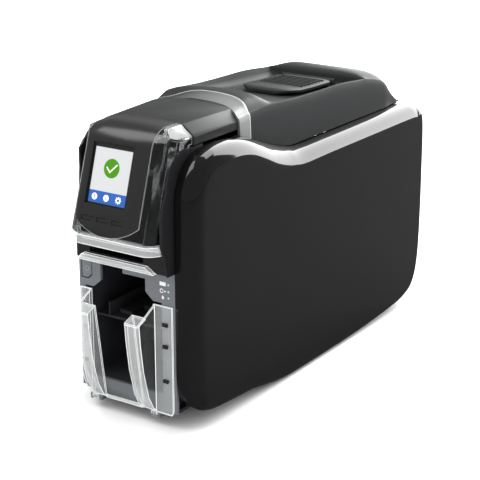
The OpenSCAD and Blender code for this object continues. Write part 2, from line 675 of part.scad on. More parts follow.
// Plan of the head, t millimetres below its outside: a broad corner on the left and a small one on the right
module head_plan(t) hull() {
    translate([-hood_x / 2, head_sweep]) scale([hood_x / 2 - t, head_sweep - t]) circle(1, $fn = 96);
    translate([hood_x - 14, 14]) circle(14 - t);
    translate([-hood_x + t, 140]) square([2 * (hood_x - t), 10]);
}
module hood_form(t) intersection() {
    along_x(-hood_x, hood_x) polygon(concat(hood_profile(t, hood_low - t, -100),
        t > 0 ? [[-100, hood_low - 40]] : [[-100, cap_low_z + 0.4], [-166, cap_low_z + 0.4], [-186, 200],
            [-200, hood_low]]));
    along_y(-260, -100) roof(hood_x - t, cap_top_z - t);
    on_face() translate([0, 0, -100]) linear_extrude(200) head_plan(t);
    translate([0, seam_y - seam_r, 0]) cylinder(r = seam_r - (t > 0 ? -1 : 0), h = 300, $fn = 96);
}
module hood_shell() difference() {
    hood_form(0);
    hood_form(hood_wall);
}
// Outline of the face panel: a shield with a rounded lower edge
module face_shape(grow) {
    r = 52;
    intersection() {
        translate([-face_left - grow, -60]) square([face_w + 2 * grow, 140]);
        union() {
            translate([0, 1]) circle(r + grow, $fn = 96);
            translate([-face_left - grow, 1]) square([face_w + 2 * grow, 100]);
        }
    }
}
module through_face() on_face() translate([0, 16, 0]) rotate([90, 0, 0]) linear_extrude(40) children();
module above_face(grow) translate([-face_left - grow, -230, face_at(25)[1]])
    cube([face_w + 2 * grow, 130, 60]);
face_centre_x = -4.6;
window_s = [-25, -25 + window_h];
button_s = -37.5;
function button_x(k) = face_centre_x + k * button_pitch;
module clear_hood() color("#8a9096", 0.5) difference() {
    hood_shell();
    through_face() face_shape(0.2);
    above_face(0.2);
}
module face_panel() color("#131316") difference() {
    intersection() {
        hood_shell();
        union() {
            through_face() face_shape(0);
            above_face(0);
        }
    }
    through_face() {
        translate([face_centre_x - window_w / 2, window_s[0]]) square([window_w, window_h]);
        for (k = [-1:1]) translate([button_x(k), button_s])
            square([button_w + 2 * button_gap, button_h + 2 * button_gap], center = true);
    }
}
module in_face(y0, y1) on_face() translate([0, y1, 0]) rotate([90, 0, 0]) linear_extrude(y1 - y0) children();
display_front = hood_wall + 0.4;
screen_w = 39.2;
screen_h = 47.3;
screen_c = [face_centre_x, 0];
module display_module() {
    color("#111114") in_face(display_front, display_front + 5)
        translate([face_centre_x - window_w / 2 - 1.8, window_s[0] - 5]) square([window_w + 3.6, window_h + 8]);
    color("#dfe3e6") in_face(display_front - 0.3, display_front + 0.1) translate(screen_c)
        square([screen_w, screen_h], center = true);
    // switch board behind the three buttons
    color("#1e5a36") in_face(button_stop, button_stop + 1.5)
        translate([button_x(-1) - 8, button_s - 6]) square([2 * button_pitch + 16, 14]);
}
button_travel = 0.8;
flange_front = hood_wall + 0.3;
flange_t = 1;
button_stop = flange_front + flange_t + button_travel + 0.1;
module screen_button(k) color("#0b0b0c") {
    in_face(0.4, flange_front) translate([button_x(k), button_s]) square([button_w, button_h], center = true);
    in_face(flange_front, flange_front + flange_t) translate([button_x(k), button_s])
        square([button_w + 2, button_h + 2], center = true);
}
module left_button() screen_button(-1);
module middle_button() screen_button(0);
module right_button() screen_button(1);

// Front frame: the dark cheeks beside the hood and the nose with the single-card slot
nose_y = [-200, -197];
nose_z = [hopper_top + 0.4, hood_low - 8.8];
slot_z = [150.6, 155.4];
nose_left = 43.5;
cheek = [[-188, nose_z[0]], [-202, nose_z[0]], [-206, 160], [-210, 172], [-210, 194], [-206, 208],
    [-202, 216], [-199.5, 232], [-195.5, 240], [-188, 246], [-176, front_top_z], [-150, front_top_z],
    [-150, 204], [-186, 204]];
module front_frame() color("#0e0e10") {
    along_x(hood_x + slack, core_x - 0.2) polygon(cheek);
    block([frame_out + 0.2, hood_x + slack + 0.5], [-188, -176], [nose_z[0], 170]);
    block([hood_x - 20, hood_x + slack + 0.5], nose_y, nose_z);
    // left cheek, and the slanted wall that joins it to the nose
    along_x(-core_x + 0.2, -hood_x - slack)
        polygon([[left_front, nose_z[0]], [left_front, 236], [left_front + 6, 245],
        [left_front + 14, front_top_z], [-150, front_top_z], [-150, 204], [-168, 190], [-168, nose_z[0]]]);
    translate([0, 0, nose_z[0]]) linear_extrude(nose_z[1] - nose_z[0])
        polygon([[-nose_left, nose_y[0]], [-nose_left + 3, nose_y[1]], [-hood_x - slack, left_front + 3],
            [-core_x + 0.2, left_front + 3], [-core_x + 0.2, left_front]]);
    // ribs that screw to the side plates
    both_sides() block([frame_out + 0.2, hood_x + slack + 0.5], [-160, -152], [206, 240]);
    difference() {
        block([-nose_left, hood_x], nose_y, nose_z);
        block([-card_w / 2 - 2, card_w / 2 + 2], [nose_y[0] - 1, nose_y[1] + 1], slot_z);
    }
    // card chute behind the slot
    for (z = [slot_z[0] - 1.4, slot_z[1]])
        block([-card_w / 2 - 3, card_w / 2 + 3], [nose_y[1] - 0.5, -170], [z, z + 1.4]);
}
ledge_front = -205;
module card_slot_ledge() color("#8d9296", 0.6)
    along_y(ledge_front, nose_y[0] - 0.3) polygon([[-40, nose_z[0]], [43, nose_z[0]], [34, nose_z[0] + 5.6],
        [-34, nose_z[0] + 5.6]]);
lip_left = 49;
module lip_plan(grow) hull() {
    translate([-lip_left / 2, head_sweep - 218]) scale([lip_left / 2 + grow, head_sweep + grow])
        circle(1, $fn = 96);
    translate([hood_x + grow - 14, -204 - grow]) circle(14);
}
module hood_lip() color("#a9afb4", 0.6) translate([0, 0, hood_low - 8.5]) difference() {
    linear_extrude(8.1) intersection() {
        lip_plan(0);
        translate([-100, -300]) square([200, 300 + nose_y[0] - 0.3]);
    }
    translate([0, 0, 3]) linear_extrude(10) intersection() {
        translate([0, 5]) lip_plan(-3);
        translate([-100, -300]) square([200, 200]);
    }
}
brow_gap = 0.7;            // lets the lid's front edge lift past the cap
module cap_form(t) intersection() {
    along_y(-200, -60) roof(cap_x - t, cap_top_z - t);
    difference() {
        translate([-80, -200, t > 0 ? 90 : cap_low_z]) cube([160, 150, 300]);
        translate([0, seam_y - seam_r, 0]) cylinder(r = seam_r + (t > 0 ? -4 : slack), h = 400, $fn = 96);
        translate([0, 0, -1]) linear_extrude(400) brow_plan(t > 0 ? -20 : brow_gap);
    }
}
// Plan of everything behind the lid's curved front edge
module brow_plan(grow) polygon(concat([for (k = [-10:10]) [k * 7, brow_edge(k * 7) - grow]],
    [[70, 20], [-70, 20]]));
function brow_edge(x) = lid_rows[0][0] + lid_rows[0][1] * pow(x / 56, 2);
module top_cap() color("#2c2e30") difference() {
    cap_form(0);
    cap_form(hood_wall);
}

// Front bezel with its opening, power button and status lights
bezel_x = core_x - 0.2;
bezel_bottom = 14.4;
power_x = -hopper_open_w / 2 + 2.2;
power_z = 132.4;
power_size2 = [11, 21];
status_x = hopper_open_w / 2 + 7;
status_z = [132.4, 126.1, 120.4];
module power_shape(gap) {
    w = power_size2[0] / 2 - gap;
    h = power_size2[1] / 2 - gap;
    polygon([[-w, -h], [w - 4, -h], [w, -h + 4], [w, h - 4], [w - 4, h], [-w, h]]);
}
module bezel_opening() polygon([[-feed_open_x, 160], [-feed_open_x, 122], [-feed_open_x - 8, 115],
    [-hopper_open_w / 2, 115], [-hopper_open_w / 2, hopper_floor], [hopper_open_w / 2, hopper_floor],
    [hopper_open_w / 2, 115], [feed_open_x + 8, 115], [feed_open_x, 122], [feed_open_x, 133.5], [0, 133.5],
    [0, 160]]);
// Front view of the bezel: its lower left corner is rounded off
module bezel_shape(left) polygon(concat(
    [for (k = [0:6]) [-left + 16 * (1 - cos(15 * k)), bezel_bottom + 34 * (1 - sin(15 * k))]],
    [[bezel_x, bezel_bottom], [bezel_x, hopper_top], [-left, hopper_top]]));
module front_bezel() color("#6c7278", 0.85) difference() {
    union() {
        along_y(-bezel_front, -bezel_front + bezel_t) bezel_shape(left_x);
        // slanted wall back to the left cover
        intersection() {
            linear_extrude(hopper_top)
                polygon([[-left_x, -bezel_front], [-left_x + 2.2, -bezel_front + bezel_t],
                [-bezel_x + 2, left_front - 0.6], [-bezel_x, left_front - 0.6],
                [-bezel_x, left_front - 2.6]]);
            along_y(-bezel_front, left_front) bezel_shape(bezel_x);
        }
    }
    along_y(-bezel_front - 1, -bezel_front + bezel_t + 1) {
        bezel_opening();
        translate([power_x, power_z]) power_shape(0);
        for (z = status_z) translate([status_x, z]) square([2.2, 2.2], center = true);
    }
}
module status_lights() color("#d8f0d8") for (z = status_z)
    along_y(-bezel_front, -bezel_front + bezel_t + 2) translate([status_x, z])
        square([1.8, 1.8], center = true);
power_travel = 1.2;
module power_button() color("#565b60") {
    along_y(-bezel_front + 0.2, -bezel_front + bezel_t + 0.3) translate([power_x, power_z])
        power_shape(button_gap);
    along_y(-bezel_front + bezel_t + 0.3, -bezel_front + bezel_t + 1.3)
        translate([power_x, power_z]) power_shape(-0.6);
}
// Hopper liner: output bay below, feed bay above, pick roller in the wall between them
shelf_t = 2.5;
shelf_front = -176;
roller_box_front = pick_axis[0] - roller_r - 4;
liner_top = hopper_top - 0.4;
card_half = card_w / 2 + 1;
module hopper_liner() color("#0c0c0d") {
    difference() {
        block([-liner_x, liner_x], [liner_front, liner_back], [liner_bottom, liner_top]);
        block([-hopper_open_w / 2, hopper_open_w / 2], [liner_front - 1, liner_back - liner_t],
            [hopper_floor, card_z - shelf_t]);
        block([-hopper_open_w / 2, hopper_open_w / 2], [liner_front - 1, liner_back - liner_t],
            [card_z - shelf_t - 1, liner_top - liner_t]);
        // slots for cards going in and coming out, and the shaft's way through the side walls
        block([-card_half, card_half], [liner_back - liner_t - 1, liner_back + 1],
            [card_z - 0.5, card_z + 2.5]);
        block([-card_half, card_half], [liner_back - liner_t - 1, liner_back + 1], [52, 62]);
        rod(-liner_x - 1, liner_x + 1, pick_axis, shaft_r + 0.6);
        // room behind the power button
        block([-liner_x - 1, power_x + 9], [liner_front - 1, liner_front + 3.2],
            [power_z - 13, power_z + 13]);
        // slot for the card weight's stem
        block([-4, 4], [liner_back - liner_t - 1, liner_back + 1], [card_z + 2, liner_top - liner_t - 4]);
    }
    difference() {
        union() {
            block([-hopper_open_w / 2 - 0.5, hopper_open_w / 2 + 0.5],
                [shelf_front, liner_back - liner_t + 0.5], [card_z - shelf_t, card_z]);
            block([-hopper_open_w / 2 - 0.5, hopper_open_w / 2 + 0.5],
                [roller_box_front, liner_back - liner_t + 0.5],
                [roller_z - roller_r - 3, card_z]);
        }
        block([-pick_w / 2 - 1, pick_w / 2 + 1], [pick_axis[0] - roller_r - 1, pick_axis[0] + roller_r + 1],
            [roller_z - roller_r - 1, card_z + 1]);
        rod(-liner_x, liner_x, pick_axis, shaft_r + 0.6);
        // the pick roller stands this far above the shelf
        block([-card_half, card_half], [pick_axis[0] - 12, liner_back], [card_z - 0.5, card_z + 1]);
    }
    // guides that keep the stack in line
    both_sides() block([card_half, card_half + 1.5], [shelf_front, liner_back - liner_t + 0.5],
        [card_z - 0.1, card_z + 12]);
}
module card_weight() color("#3c3f45") {
    difference() {
        block([-card_w / 2 + 4, card_w / 2 - 4], [-168, liner_back - liner_t - 1],
            [card_z + 0.3, card_z + 4.3]);
        block([-pick_w / 2 - 1, pick_w / 2 + 1], [pick_axis[0] - roller_r, pick_axis[0] + roller_r],
            [card_z, card_z + 2]);
        block([-10, 10], [-169, -150], [card_z, card_z + 5]);
    }
    // stem through the rear slot
    block([-3, 3], [liner_back - liner_t - 2, liner_back + 2], [card_z + 2.4, card_z + 8]);
    block([-6, 6], [liner_back + 0.4, liner_back + 2.4], [card_z + 2.4, card_z + 12]);
}

// Clear hopper guard: two channels that hold the finished cards, hinged low so that it tips forward
guard_curve = [for (p = [[0, 100], [1.5, 81], [5, 56], [11.5, 30], [18.5, 17],
    [guard_reach - 0.6, guard_low]])
    [guard_front + p[0], p[1]]];
function shifted(list, d) = [for (i = [len(list) - 1:-1:0]) list[i] + d];
guard_lug_x = [30, 36];
guard_pin_r = 1.5;
module guard_channel(flange_x, corner) {
    // front strip
    along_x(strip_in, strip_out) polygon(concat(guard_curve, shifted(guard_curve, [guard_wall, 0])));
    // short inner wall with a straight rear edge, and a cap over the channel
    along_x(strip_in, strip_in + guard_wall)
        polygon(concat(guard_curve, [[guard_back - 0.4, guard_low], [guard_front + 11, 104]]));
    along_x(strip_in, strip_out)
        polygon([[guard_front, 98], [guard_front, 100], [guard_front + 11, 104], [guard_front + 11, 102]]);
    // deep outer wall rising to the rear, and the flange over the bezel
    along_x(strip_out, strip_out + guard_wall)
        polygon(concat(guard_curve, [[guard_back, guard_low], [guard_back, guard_top]]));
    along_y(guard_back - guard_wall, guard_back)
        polygon([[strip_out, guard_low], [flange_x - 0.4 * corner, guard_low],
        [flange_x, guard_low + corner], [flange_x, guard_top], [strip_out, guard_top]]);
    for (z = [45, 77, 97]) block([flange_x - 9, flange_x - 4],
        [guard_back - guard_wall - 2, guard_back - guard_wall + 0.5], [z - 1.5, z + 1.5]);
    // hinge lug
    difference() {
        along_x(guard_lug_x[0], guard_lug_x[1]) {
            translate(guard_axis) circle(3);
            translate([guard_back - guard_wall, guard_axis[1]])
                square([guard_wall, guard_low - guard_axis[1] + 0.5]);
        }
        rod(guard_lug_x[0] - 1, guard_lug_x[1] + 1, guard_axis, guard_pin_r + shaft_fit);
    }
}
module hopper_guard() color("#dfe6ea", 0.4) {
    guard_channel(54, 4);
    mirror([1, 0, 0]) guard_channel(46, 28);
    block([-strip_in - 0.5, strip_in + 0.5], [guard_back - guard_wall, guard_back],
        [guard_low, guard_low + 2.6]);
}
module guard_pins() color("#b5b8ba") both_sides() {
    rod(guard_lug_x[0] - 4, guard_lug_x[1] + 3, guard_axis, guard_pin_r);
    // bracket on the tray
    for (x = [guard_lug_x[0] - 3.4, guard_lug_x[1] + 0.6]) {
        block([x, x + 2.4], [guard_axis[0] - 1.9, -180], [guard_axis[1] - 2.4, guard_axis[1] + 2.4]);
        block([x, x + 2.4], [guard_axis[0] + 2, -180], [guard_axis[1] - 2.4, 14.2]);
    }
}

// Lid: rows of points from the curved brow at the front to the rolled rear edge
// [y on the centre line, bow towards the front at the sides, centre height, ridge height, flatness]
lid_rows = [[-75, -22, 264.6, 259, 6], [-62, -24, 266.4, 260, 6], [-54, -26, 267.9, 260.6, 6],
    [-42, -24, 267.7, 260.8, 6], [-32, -20, 266.3, 260.6, 6], [-22, -13, 259, 259.6, 6],
    [-8, -5, 254, 258.6, 8], [6, 0, 252, 257.9, 10], [40, 0, 249.5, 256.8, 10], [80, 0, 247.5, 255.8, 10],
    [118, 0, 245.5, 254.5, 10], [126, 0, 246, 254, 10], [130, 0, 256, 253.8, 10],
    [150, 0, 257.5, 252.8, 10], [166, 0, 255, 250.3, 10], [182, 0, 245, 241.5, 10],
    [195, 0, 231, 229, 10], [202, 0, 220, rear_top_z + 2, 10]];
lid_sections = smooth_rows(lid_rows, 3);
lid_x = lid_w / 2;
// Across the lid: share of the half width, measured from the edge to the centre and back
lid_across = [1, 0.992, 0.985, 0.974, 0.962, 0.948, 0.925, 0.89, 0.84, 0.76, 0.62, 0.35, 0];
lid_ridge = lid_across[5];
// The covers' top as the lid meets it: it falls away at the rear, short of where the lid swings past
function under_lid(y) = y < rear_y - 47 ? cover_top(y)
    : rear_top_z - lookup(rear_y - y, [[16, 8.6], [20, 8.6], [24, 6.7], [29.8, 4.3], [39, 2.1], [47, 0]]);
function lid_point(row, j, skin) =
    let (side = j < len(lid_across) ? 1 : -1,
         jj = j < len(lid_across) ? j : 2 * len(lid_across) - 2 - j,
         x = lid_across[jj] * lid_x,
         x_in = max(x - skin, 0),
         bow = row[1] * pow(min(x_in, 56) / 56, 2),
         y = min(row[0] + bow, 203),
         ridge_x = lid_ridge * lid_x,
         low = under_lid(y) + lid_gap,
         high = row[3],
         top = mix(row[2], high, pow(min(x / ridge_x, 1), row[4])),
         z = jj == 0 ? low : jj == 1 ? mix(low, high, 0.5) : jj == 2 ? mix(low, high, 0.84)
             : jj == 3 ? mix(low, high, 0.96) : jj == 4 ? mix(low, high, 0.99) : top)
    [side * x_in, y, max(z - (jj == 0 ? 0 : skin), low + 0.05 * min(jj, 4))];
module lid() {
    rows = lid_sections;
    m = 2 * len(lid_across) - 1;
    n = len(rows);
    top = [for (r = rows) for (j = [0:m - 1]) lid_point(r, j, 0)];
    under = [for (r = rows) for (j = [0:m - 1]) lid_point(r, j, lid_wall)];
    color("#26282a") polyhedron(concat(top, under), concat(
        [for (i = [0:n - 2]) for (j = [0:m - 2]) let (a = i * m + j) each [[a, a + 1, a + m],
            [a + 1, a + m + 1, a + m]]],
        [for (i = [0:n - 2]) for (j = [0:m - 2]) let (a = n * m + i * m + j) each [[a, a + m, a + 1],
            [a + 1, a + m, a + m + 1]]],
        [for (i = [0:n - 2]) for (j = [0, m - 1]) let (a = i * m + j, b = a + n * m)
            each j == 0 ? [[a, a + m, b], [b, a + m, b + m]] : [[a, b, a + m], [b, b + m, a + m]]],
        [for (i = [0, n - 1]) for (j = [0:m - 2]) let (a = i * m + j, b = a + n * m)
            each i == 0 ? [[a, b, a + 1], [a + 1, b, b + 1]] : [[a, a + 1, b], [a + 1, b + 1, b]]]));
}

// Hinge arms screwed under the lid, and the pins they turn on
hinge_pin_r = 2;
module lid_hinge_arms() color("#3a3d40") both_sides() difference() {
    along_x(34.4, 45.6) {
        translate(lid_axis) circle(4.2);
        polygon([[179, 239], [182, 238.8], [195, 225.4], [200.5, 216.4],
            [lid_axis[0] + 3.5, lid_axis[1] + 2.4],
            [lid_axis[0] - 3, lid_axis[1] - 3], [186, 226]]);
    }
    rod(34, 46, lid_axis, hinge_pin_r + shaft_fit);
}
module lid_hinge_pins() color("#b5b8ba") both_sides() rod(29, 51, lid_axis, hinge_pin_r);

// Latch: a ribbed paddle in the lid's recess, its base with the pivot, and the catch under the lid
latch_axis = [112, 250.5];
latch_pin_r = 1.4;
ear_x = 27;
module latch_base() color("#1d1f21") {
    along_x(-ear_x - 3, ear_x + 3) polygon([[100, 246.9], [117, 246.1], [117, 247.1], [100, 247.9]]);
    both_sides() along_x(ear_x, ear_x + 3) {
        translate(latch_axis) circle(2.6);
        polygon([[109.4, 247], [114.6, 246.7], [114.6, 250.5], [109.4, 250.5]]);
    }
    rod(-ear_x - 0.5, ear_x + 0.5, latch_axis, latch_pin_r);
}
paddle_front = latch_axis[0] - paddle_l;
paddle_rear = latch_axis[0] - 3.4;
paddle_top = [[paddle_front - 1, 253.4], [paddle_front + 1.5, 255], [paddle_front + 5, 255.8],
    [paddle_front + 12, 255.4],
    [paddle_front + 22, 254.4], [paddle_front + 40, 253.6], [paddle_rear + 1, 252.4]];
rib_count = 7;
module latch_paddle() color("#1b1d1f") {
    intersection() {
        along_x(-paddle_w / 2, paddle_w / 2)
            polygon(concat(paddle_top, [[paddle_rear + 1, 252.4 - paddle_t],
                [paddle_front + 22, 254.4 - paddle_t],
                [paddle_front + 5, 255.6 - paddle_t], [paddle_front - 1, 255.2 - paddle_t]]));
        translate([0, (paddle_front + paddle_rear) / 2, 200]) linear_extrude(100)
            round_rect(paddle_w, paddle_rear - paddle_front, 9);
    }
    for (k = [0:rib_count - 1]) let (y = paddle_front + 34 + k * 6.4,
        z = 253.9 - 0.033 * (y - paddle_front - 22))
        along_x(-paddle_w / 2 + 7, paddle_w / 2 - 7)
            polygon([[y, z - 2], [y, z], [y + 0.8, z + 1], [y + 2, z + 1],
            [y + 2.8, z], [y + 2.8, z - 2]]);
    difference() {
        union() {
            rod(-ear_x + 0.4, ear_x - 0.4, latch_axis, 2.6);
            block([-ear_x + 0.4, ear_x - 0.4], [paddle_rear - 0.5, latch_axis[0]],
                [latch_axis[1] - 0.6, latch_axis[1] + 1.8]);
        }
        rod(-ear_x, ear_x, latch_axis, latch_pin_r + shaft_fit);
    }
}
catch_y = tie_axes[1][0] - tie_r - 5;
module latch_hook() color("#84888c") {
    block([-12, 12], [catch_y - 3, catch_y + 10], [246.4, 248.8]);
    block([-8, 8], [catch_y, catch_y + 3], [tie_axes[1][1] - 7, 246.8]);
    block([-8, 8], [catch_y + 2.5, catch_y + 4.4], [tie_axes[1][1] - 7, tie_axes[1][1] - 4]);
}

base_tray();
left_frame();
right_frame();
tie_bars();
left_cover();
right_cover();
rear_panel();
rubber_feet();
front_frame();
front_bezel();
status_lights();
hopper_liner();
card_slot_ledge();
top_cap();
clear_hood();
hood_lip();
face_panel();
display_module();
flipper_pinion();
main_board();
power_supply();
power_socket();
usb_socket();
network_socket();
fan_frame();
fan_rotor();
feed_motor();
ribbon_motor();
flipper_motor();
drive_belt();
ribbon_film();
latch_base();
lid();
lid_hinge_arms();
lid_hinge_pins();
latch_paddle();
latch_hook();
hopper_guard();
guard_pins();
power_button();
left_button();
middle_button();
right_button();
pick_roller();
pick_shaft();
feed_roller();
feed_shaft();
platen_roller();
platen_shaft();
platen_gear();
feed_pinion();
ribbon_pinion();
card_weight();
print_head();
head_arm();
takeup_spool();
supply_spool();
flipper_carriage();
flipper_gear();
reject_bin();
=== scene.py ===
import json
import math

import bmesh
import bpy
import numpy as np
from mathutils import Matrix, Vector


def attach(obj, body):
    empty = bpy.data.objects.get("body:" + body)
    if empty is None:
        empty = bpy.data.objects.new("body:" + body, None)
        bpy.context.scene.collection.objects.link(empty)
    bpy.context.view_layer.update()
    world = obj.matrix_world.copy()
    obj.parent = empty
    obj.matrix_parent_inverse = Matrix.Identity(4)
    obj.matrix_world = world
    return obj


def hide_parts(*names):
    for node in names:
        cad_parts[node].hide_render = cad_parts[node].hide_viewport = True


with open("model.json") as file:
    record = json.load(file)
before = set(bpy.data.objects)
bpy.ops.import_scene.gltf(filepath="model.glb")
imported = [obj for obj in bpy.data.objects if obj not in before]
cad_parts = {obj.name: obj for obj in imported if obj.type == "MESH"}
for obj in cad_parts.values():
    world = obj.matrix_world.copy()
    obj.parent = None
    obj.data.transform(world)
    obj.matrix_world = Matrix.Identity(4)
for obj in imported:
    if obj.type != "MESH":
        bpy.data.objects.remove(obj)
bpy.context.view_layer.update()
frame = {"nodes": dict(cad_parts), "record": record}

bl_info = {
    "name": "ID Card Printer",
    "version": (1, 0, 0),
    "blender": (4, 5, 0),
    "location": "View3D > Sidebar > Card Printer",
    "description": "Dresses the fixed frame of a desktop ID card printer with its visible pieces and finishes",
    "category": "Object",
}

# metres in a millimetre, and how near two points count as one
MM, MERGE = 0.001, 1e-6
SLOTS = {row["node"]: row["material_slot"] for row in frame["record"]["subparts"]}
BODY_OF = {node: body for body, nodes in frame["record"]["behaviour"]["bodies"].items() for node in nodes}


# ---------------------------------------------------------------- small maths

def mix(a, b, t):
    return a + (b - a) * t


def ease(t):
    t = min(max(t, 0.0), 1.0)
    return t * t * (3 - 2 * t)


def rise(value, start, reach):
    """Rises smoothly from 0 at start to 1 at reach beyond it."""
    return ease((value - start) / reach)


def spline(a, b, c, d, t):
    """Point at share t between b and c on a smooth line through a, b, c and d."""
    a, b, c, d = (np.asarray(p, float) for p in (a, b, c, d))
    return 0.5 * (2 * b + (c - a) * t + (2 * a - 5 * b + 4 * c - d) * t * t + (3 * b - a - 3 * c + d) * t ** 3)


def smooth_loop(points, steps):
    n = len(points)
    return np.array([spline(points[i - 1], points[i], points[(i + 1) % n], points[(i + 2) % n], k / steps)
                     for i in range(n) for k in range(steps)])


def smooth_rows(rows, steps):
    """Rows interpolated smoothly, ends held."""
    last = len(rows) - 1
    out = [spline(rows[max(i - 1, 0)], rows[i], rows[i + 1], rows[min(i + 2, last)], k / steps)
           for i in range(last) for k in range(steps)]
    return np.array(out + [rows[last]])


# ---------------------------------------------------------------- meshes

def place(name, data):
    """A new object of the scene that shows a mesh, a lamp or a camera."""
    thing = bpy.data.objects.new(name, data)
    bpy.context.scene.collection.objects.link(thing)
    return thing


def make_piece(name, verts, faces, scale=MM):
    """A mesh object from points, in millimetres unless another scale is given, and faces."""
    mesh = bpy.data.meshes.new(name)
    mesh.from_pydata([tuple(np.asarray(v, float) * scale) for v in verts], [], [tuple(f) for f in faces])
    mesh.validate()
    mesh.update()
    return place(name, mesh)


def clean_up(piece):
    """Merges doubles and turns the faces outwards."""
    bm = bmesh.new()
    bm.from_mesh(piece.data)
    bmesh.ops.remove_doubles(bm, verts=bm.verts, dist=MERGE)
    bmesh.ops.recalc_face_normals(bm, faces=bm.faces)
    bm.to_mesh(piece.data)
    bm.free()
    return piece


def shade(piece, angle=35):
    """Smooth shading that breaks at edges sharper than angle."""
    piece.data.shade_smooth()
    piece.data.set_sharp_from_angle(angle=math.radians(angle))
    return piece


def soften(piece, width, angle=32):
    """Rounds a piece's edges sharper than angle by width millimetres."""
    bevel = piece.modifiers.new("Rounded edges", "BEVEL")
    bevel.width = width * MM
    bevel.segments = 3
    bevel.limit_method = "ANGLE"
    bevel.angle_limit = math.radians(angle)
    bevel.harden_normals = True
    bevel.miter_outer = "MITER_ARC"
    piece.data.shade_smooth()
    return piece


def finish_piece(piece, body, material, replaces=()):
    """Gives a piece its material, its body and the CAD nodes that it stands for."""
    piece.data.materials.clear()
    piece.data.materials.append(material)
    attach(piece, body)
    if replaces:
        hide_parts(*replaces)
    return piece


# the head's left shoulder: the cuts that let it bend, where its fall starts and how far it takes to the left, upwards
# and to the rear, and how far the shoulder still falls there
SHOULDER_CUTS, SHOULDER_LEFT, SHOULDER_UP = range(-56, -16, 5), (18, 34), (222, 36)
SHOULDER_BACK, SHOULDER_REST = (-195, 95), 2.5


def dress(piece, node, material, stands=False):
    """Finishes a piece with a CAD node's body and a material. stands says that it stands for that node."""
    return finish_piece(piece, BODY_OF[node], material, [node] if stands else ())


def fall_away(bm):
    """Lets the head's left shoulder fall away, most of all at its front."""
    for x in SHOULDER_CUTS:
        everything = bm.verts[:] + bm.edges[:] + bm.faces[:]
        bmesh.ops.bisect_plane(bm, geom=everything, plane_co=(x * MM, 0, 0), plane_no=(1, 0, 0), dist=MERGE)
    for vert in bm.verts:
        x, y, z = (c / MM for c in vert.co)
        share = rise(-x, *SHOULDER_LEFT) * rise(z, *SHOULDER_UP)
        back = min(max((y - SHOULDER_BACK[0]) / SHOULDER_BACK[1], 0.0), 1.0)
        vert.co.z -= share * mix(length("shoulder_fall"), SHOULDER_REST, back) * MM


def rounded_node(node, width, material, falls=False, merged=True):
    """A copy of a CAD node, its edges rounded when width is not zero, standing for that node. merged joins its flat
    faces first.
    """
    mesh = frame["nodes"][node].data.copy()
    piece = place(node + "_rounded", mesh)
    bm = bmesh.new()
    bm.from_mesh(mesh)
    bmesh.ops.remove_doubles(bm, verts=bm.verts, dist=2 * MERGE)
    if merged:
        bmesh.ops.dissolve_limit(bm, angle_limit=math.radians(0.6), verts=bm.verts, edges=bm.edges)
    if falls:
        fall_away(bm)
    bm.to_mesh(mesh)
    bm.free()
    if width:
        soften(piece, width)
    else:
        shade(piece)
    return dress(piece, node, material, stands=True)


def prism_faces(start, n):
    """Faces of a prism whose two rings of n points follow each other from start."""
    sides = [[start + i, start + (i + 1) % n, start + n + (i + 1) % n, start + n + i] for i in range(n)]
    return [list(range(start + n, start + 2 * n)), list(range(start + n - 1, start - 1, -1)), *sides]


def sheet_faces(rows, columns):
    """Faces of a closed sheet from two grids of points, the outer first: row by row, then the two ends."""
    under = rows * columns
    faces = []
    for first in range(0, under - columns, columns):
        for a in range(first, first + columns - 1):
            faces.append([a, a + columns, a + columns + 1, a + 1])
            faces.append([under + a, under + a + 1, under + a + columns + 1, under + a + columns])
        for a in (first, first + columns - 1):
            faces.append([a, a + columns, under + a + columns, under + a])
    for first in (0, under - columns):
        faces += [[a, a + 1, under + a + 1, under + a] for a in range(first, first + columns - 1)]
    return faces


# ---------------------------------------------------------------- clear mouldings

# painted highlight rods in the sharp edges: sides, depth in radii, shortest length, least bend of the edge in degrees
ROD_SIDES, ROD_DEPTH, ROD_LEAST, ROD_SHARP = 6, 1.3, 1.2, 30
# small clips in front of the guard's flanges: heights of their middles and their ranges across
CLIP_HEIGHTS, CLIP_RANGES = (45, 77, 97), ((44.9, 50.1), (-42.1, -37.9))
# faces of the guard: just ahead of its flanges, its channels' front strips, its floor, its left outer wall
CLIP_BACK, FLANGE_FRONT, STRIP_BACK, GUARD_FLOOR, WALL_OUT = -194.4, -195, -200, 26, -38.1


def edge_highlight_rods(bm, radius, sharp):
    """Thin rods of painted highlight just inside the sharp edges of a clear moulding: points and faces, in metres."""
    verts, faces = [], []
    for edge in bm.edges:
        if len(edge.link_faces) != 2 or edge.calc_length() < ROD_LEAST * MM or edge.calc_face_angle(0.0) < sharp:
            continue
        inward = -(edge.link_faces[0].normal + edge.link_faces[1].normal)
        if inward.length < 0.2 or all(in_clip(v.co / MM) for v in edge.verts):
            continue
        inward.normalize()
        ends = [v.co + inward * radius * ROD_DEPTH for v in edge.verts]
        side = (ends[1] - ends[0]).normalized().cross(inward)
        faces += prism_faces(len(verts), ROD_SIDES)
        for end in ends:
            for k in range(ROD_SIDES):
                a = k * math.tau / ROD_SIDES
                verts.append(tuple(end + (inward * math.cos(a) + side * math.sin(a)) * radius))
    return verts, faces


def painted_edge_highlights(piece, node, radius, sharp=ROD_SHARP):
    """White, glowing rods that paint highlights along the sharp edges of a clear piece."""
    bm = bmesh.new()
    bm.from_mesh(piece.data)
    verts, faces = edge_highlight_rods(bm, radius * MM, math.radians(sharp))
    bm.free()
    rods = clean_up(make_piece(node + "_edges", verts, faces, 1.0))
    return dress(shade(rods, 70), node, acrylic("acrylic_edge"))


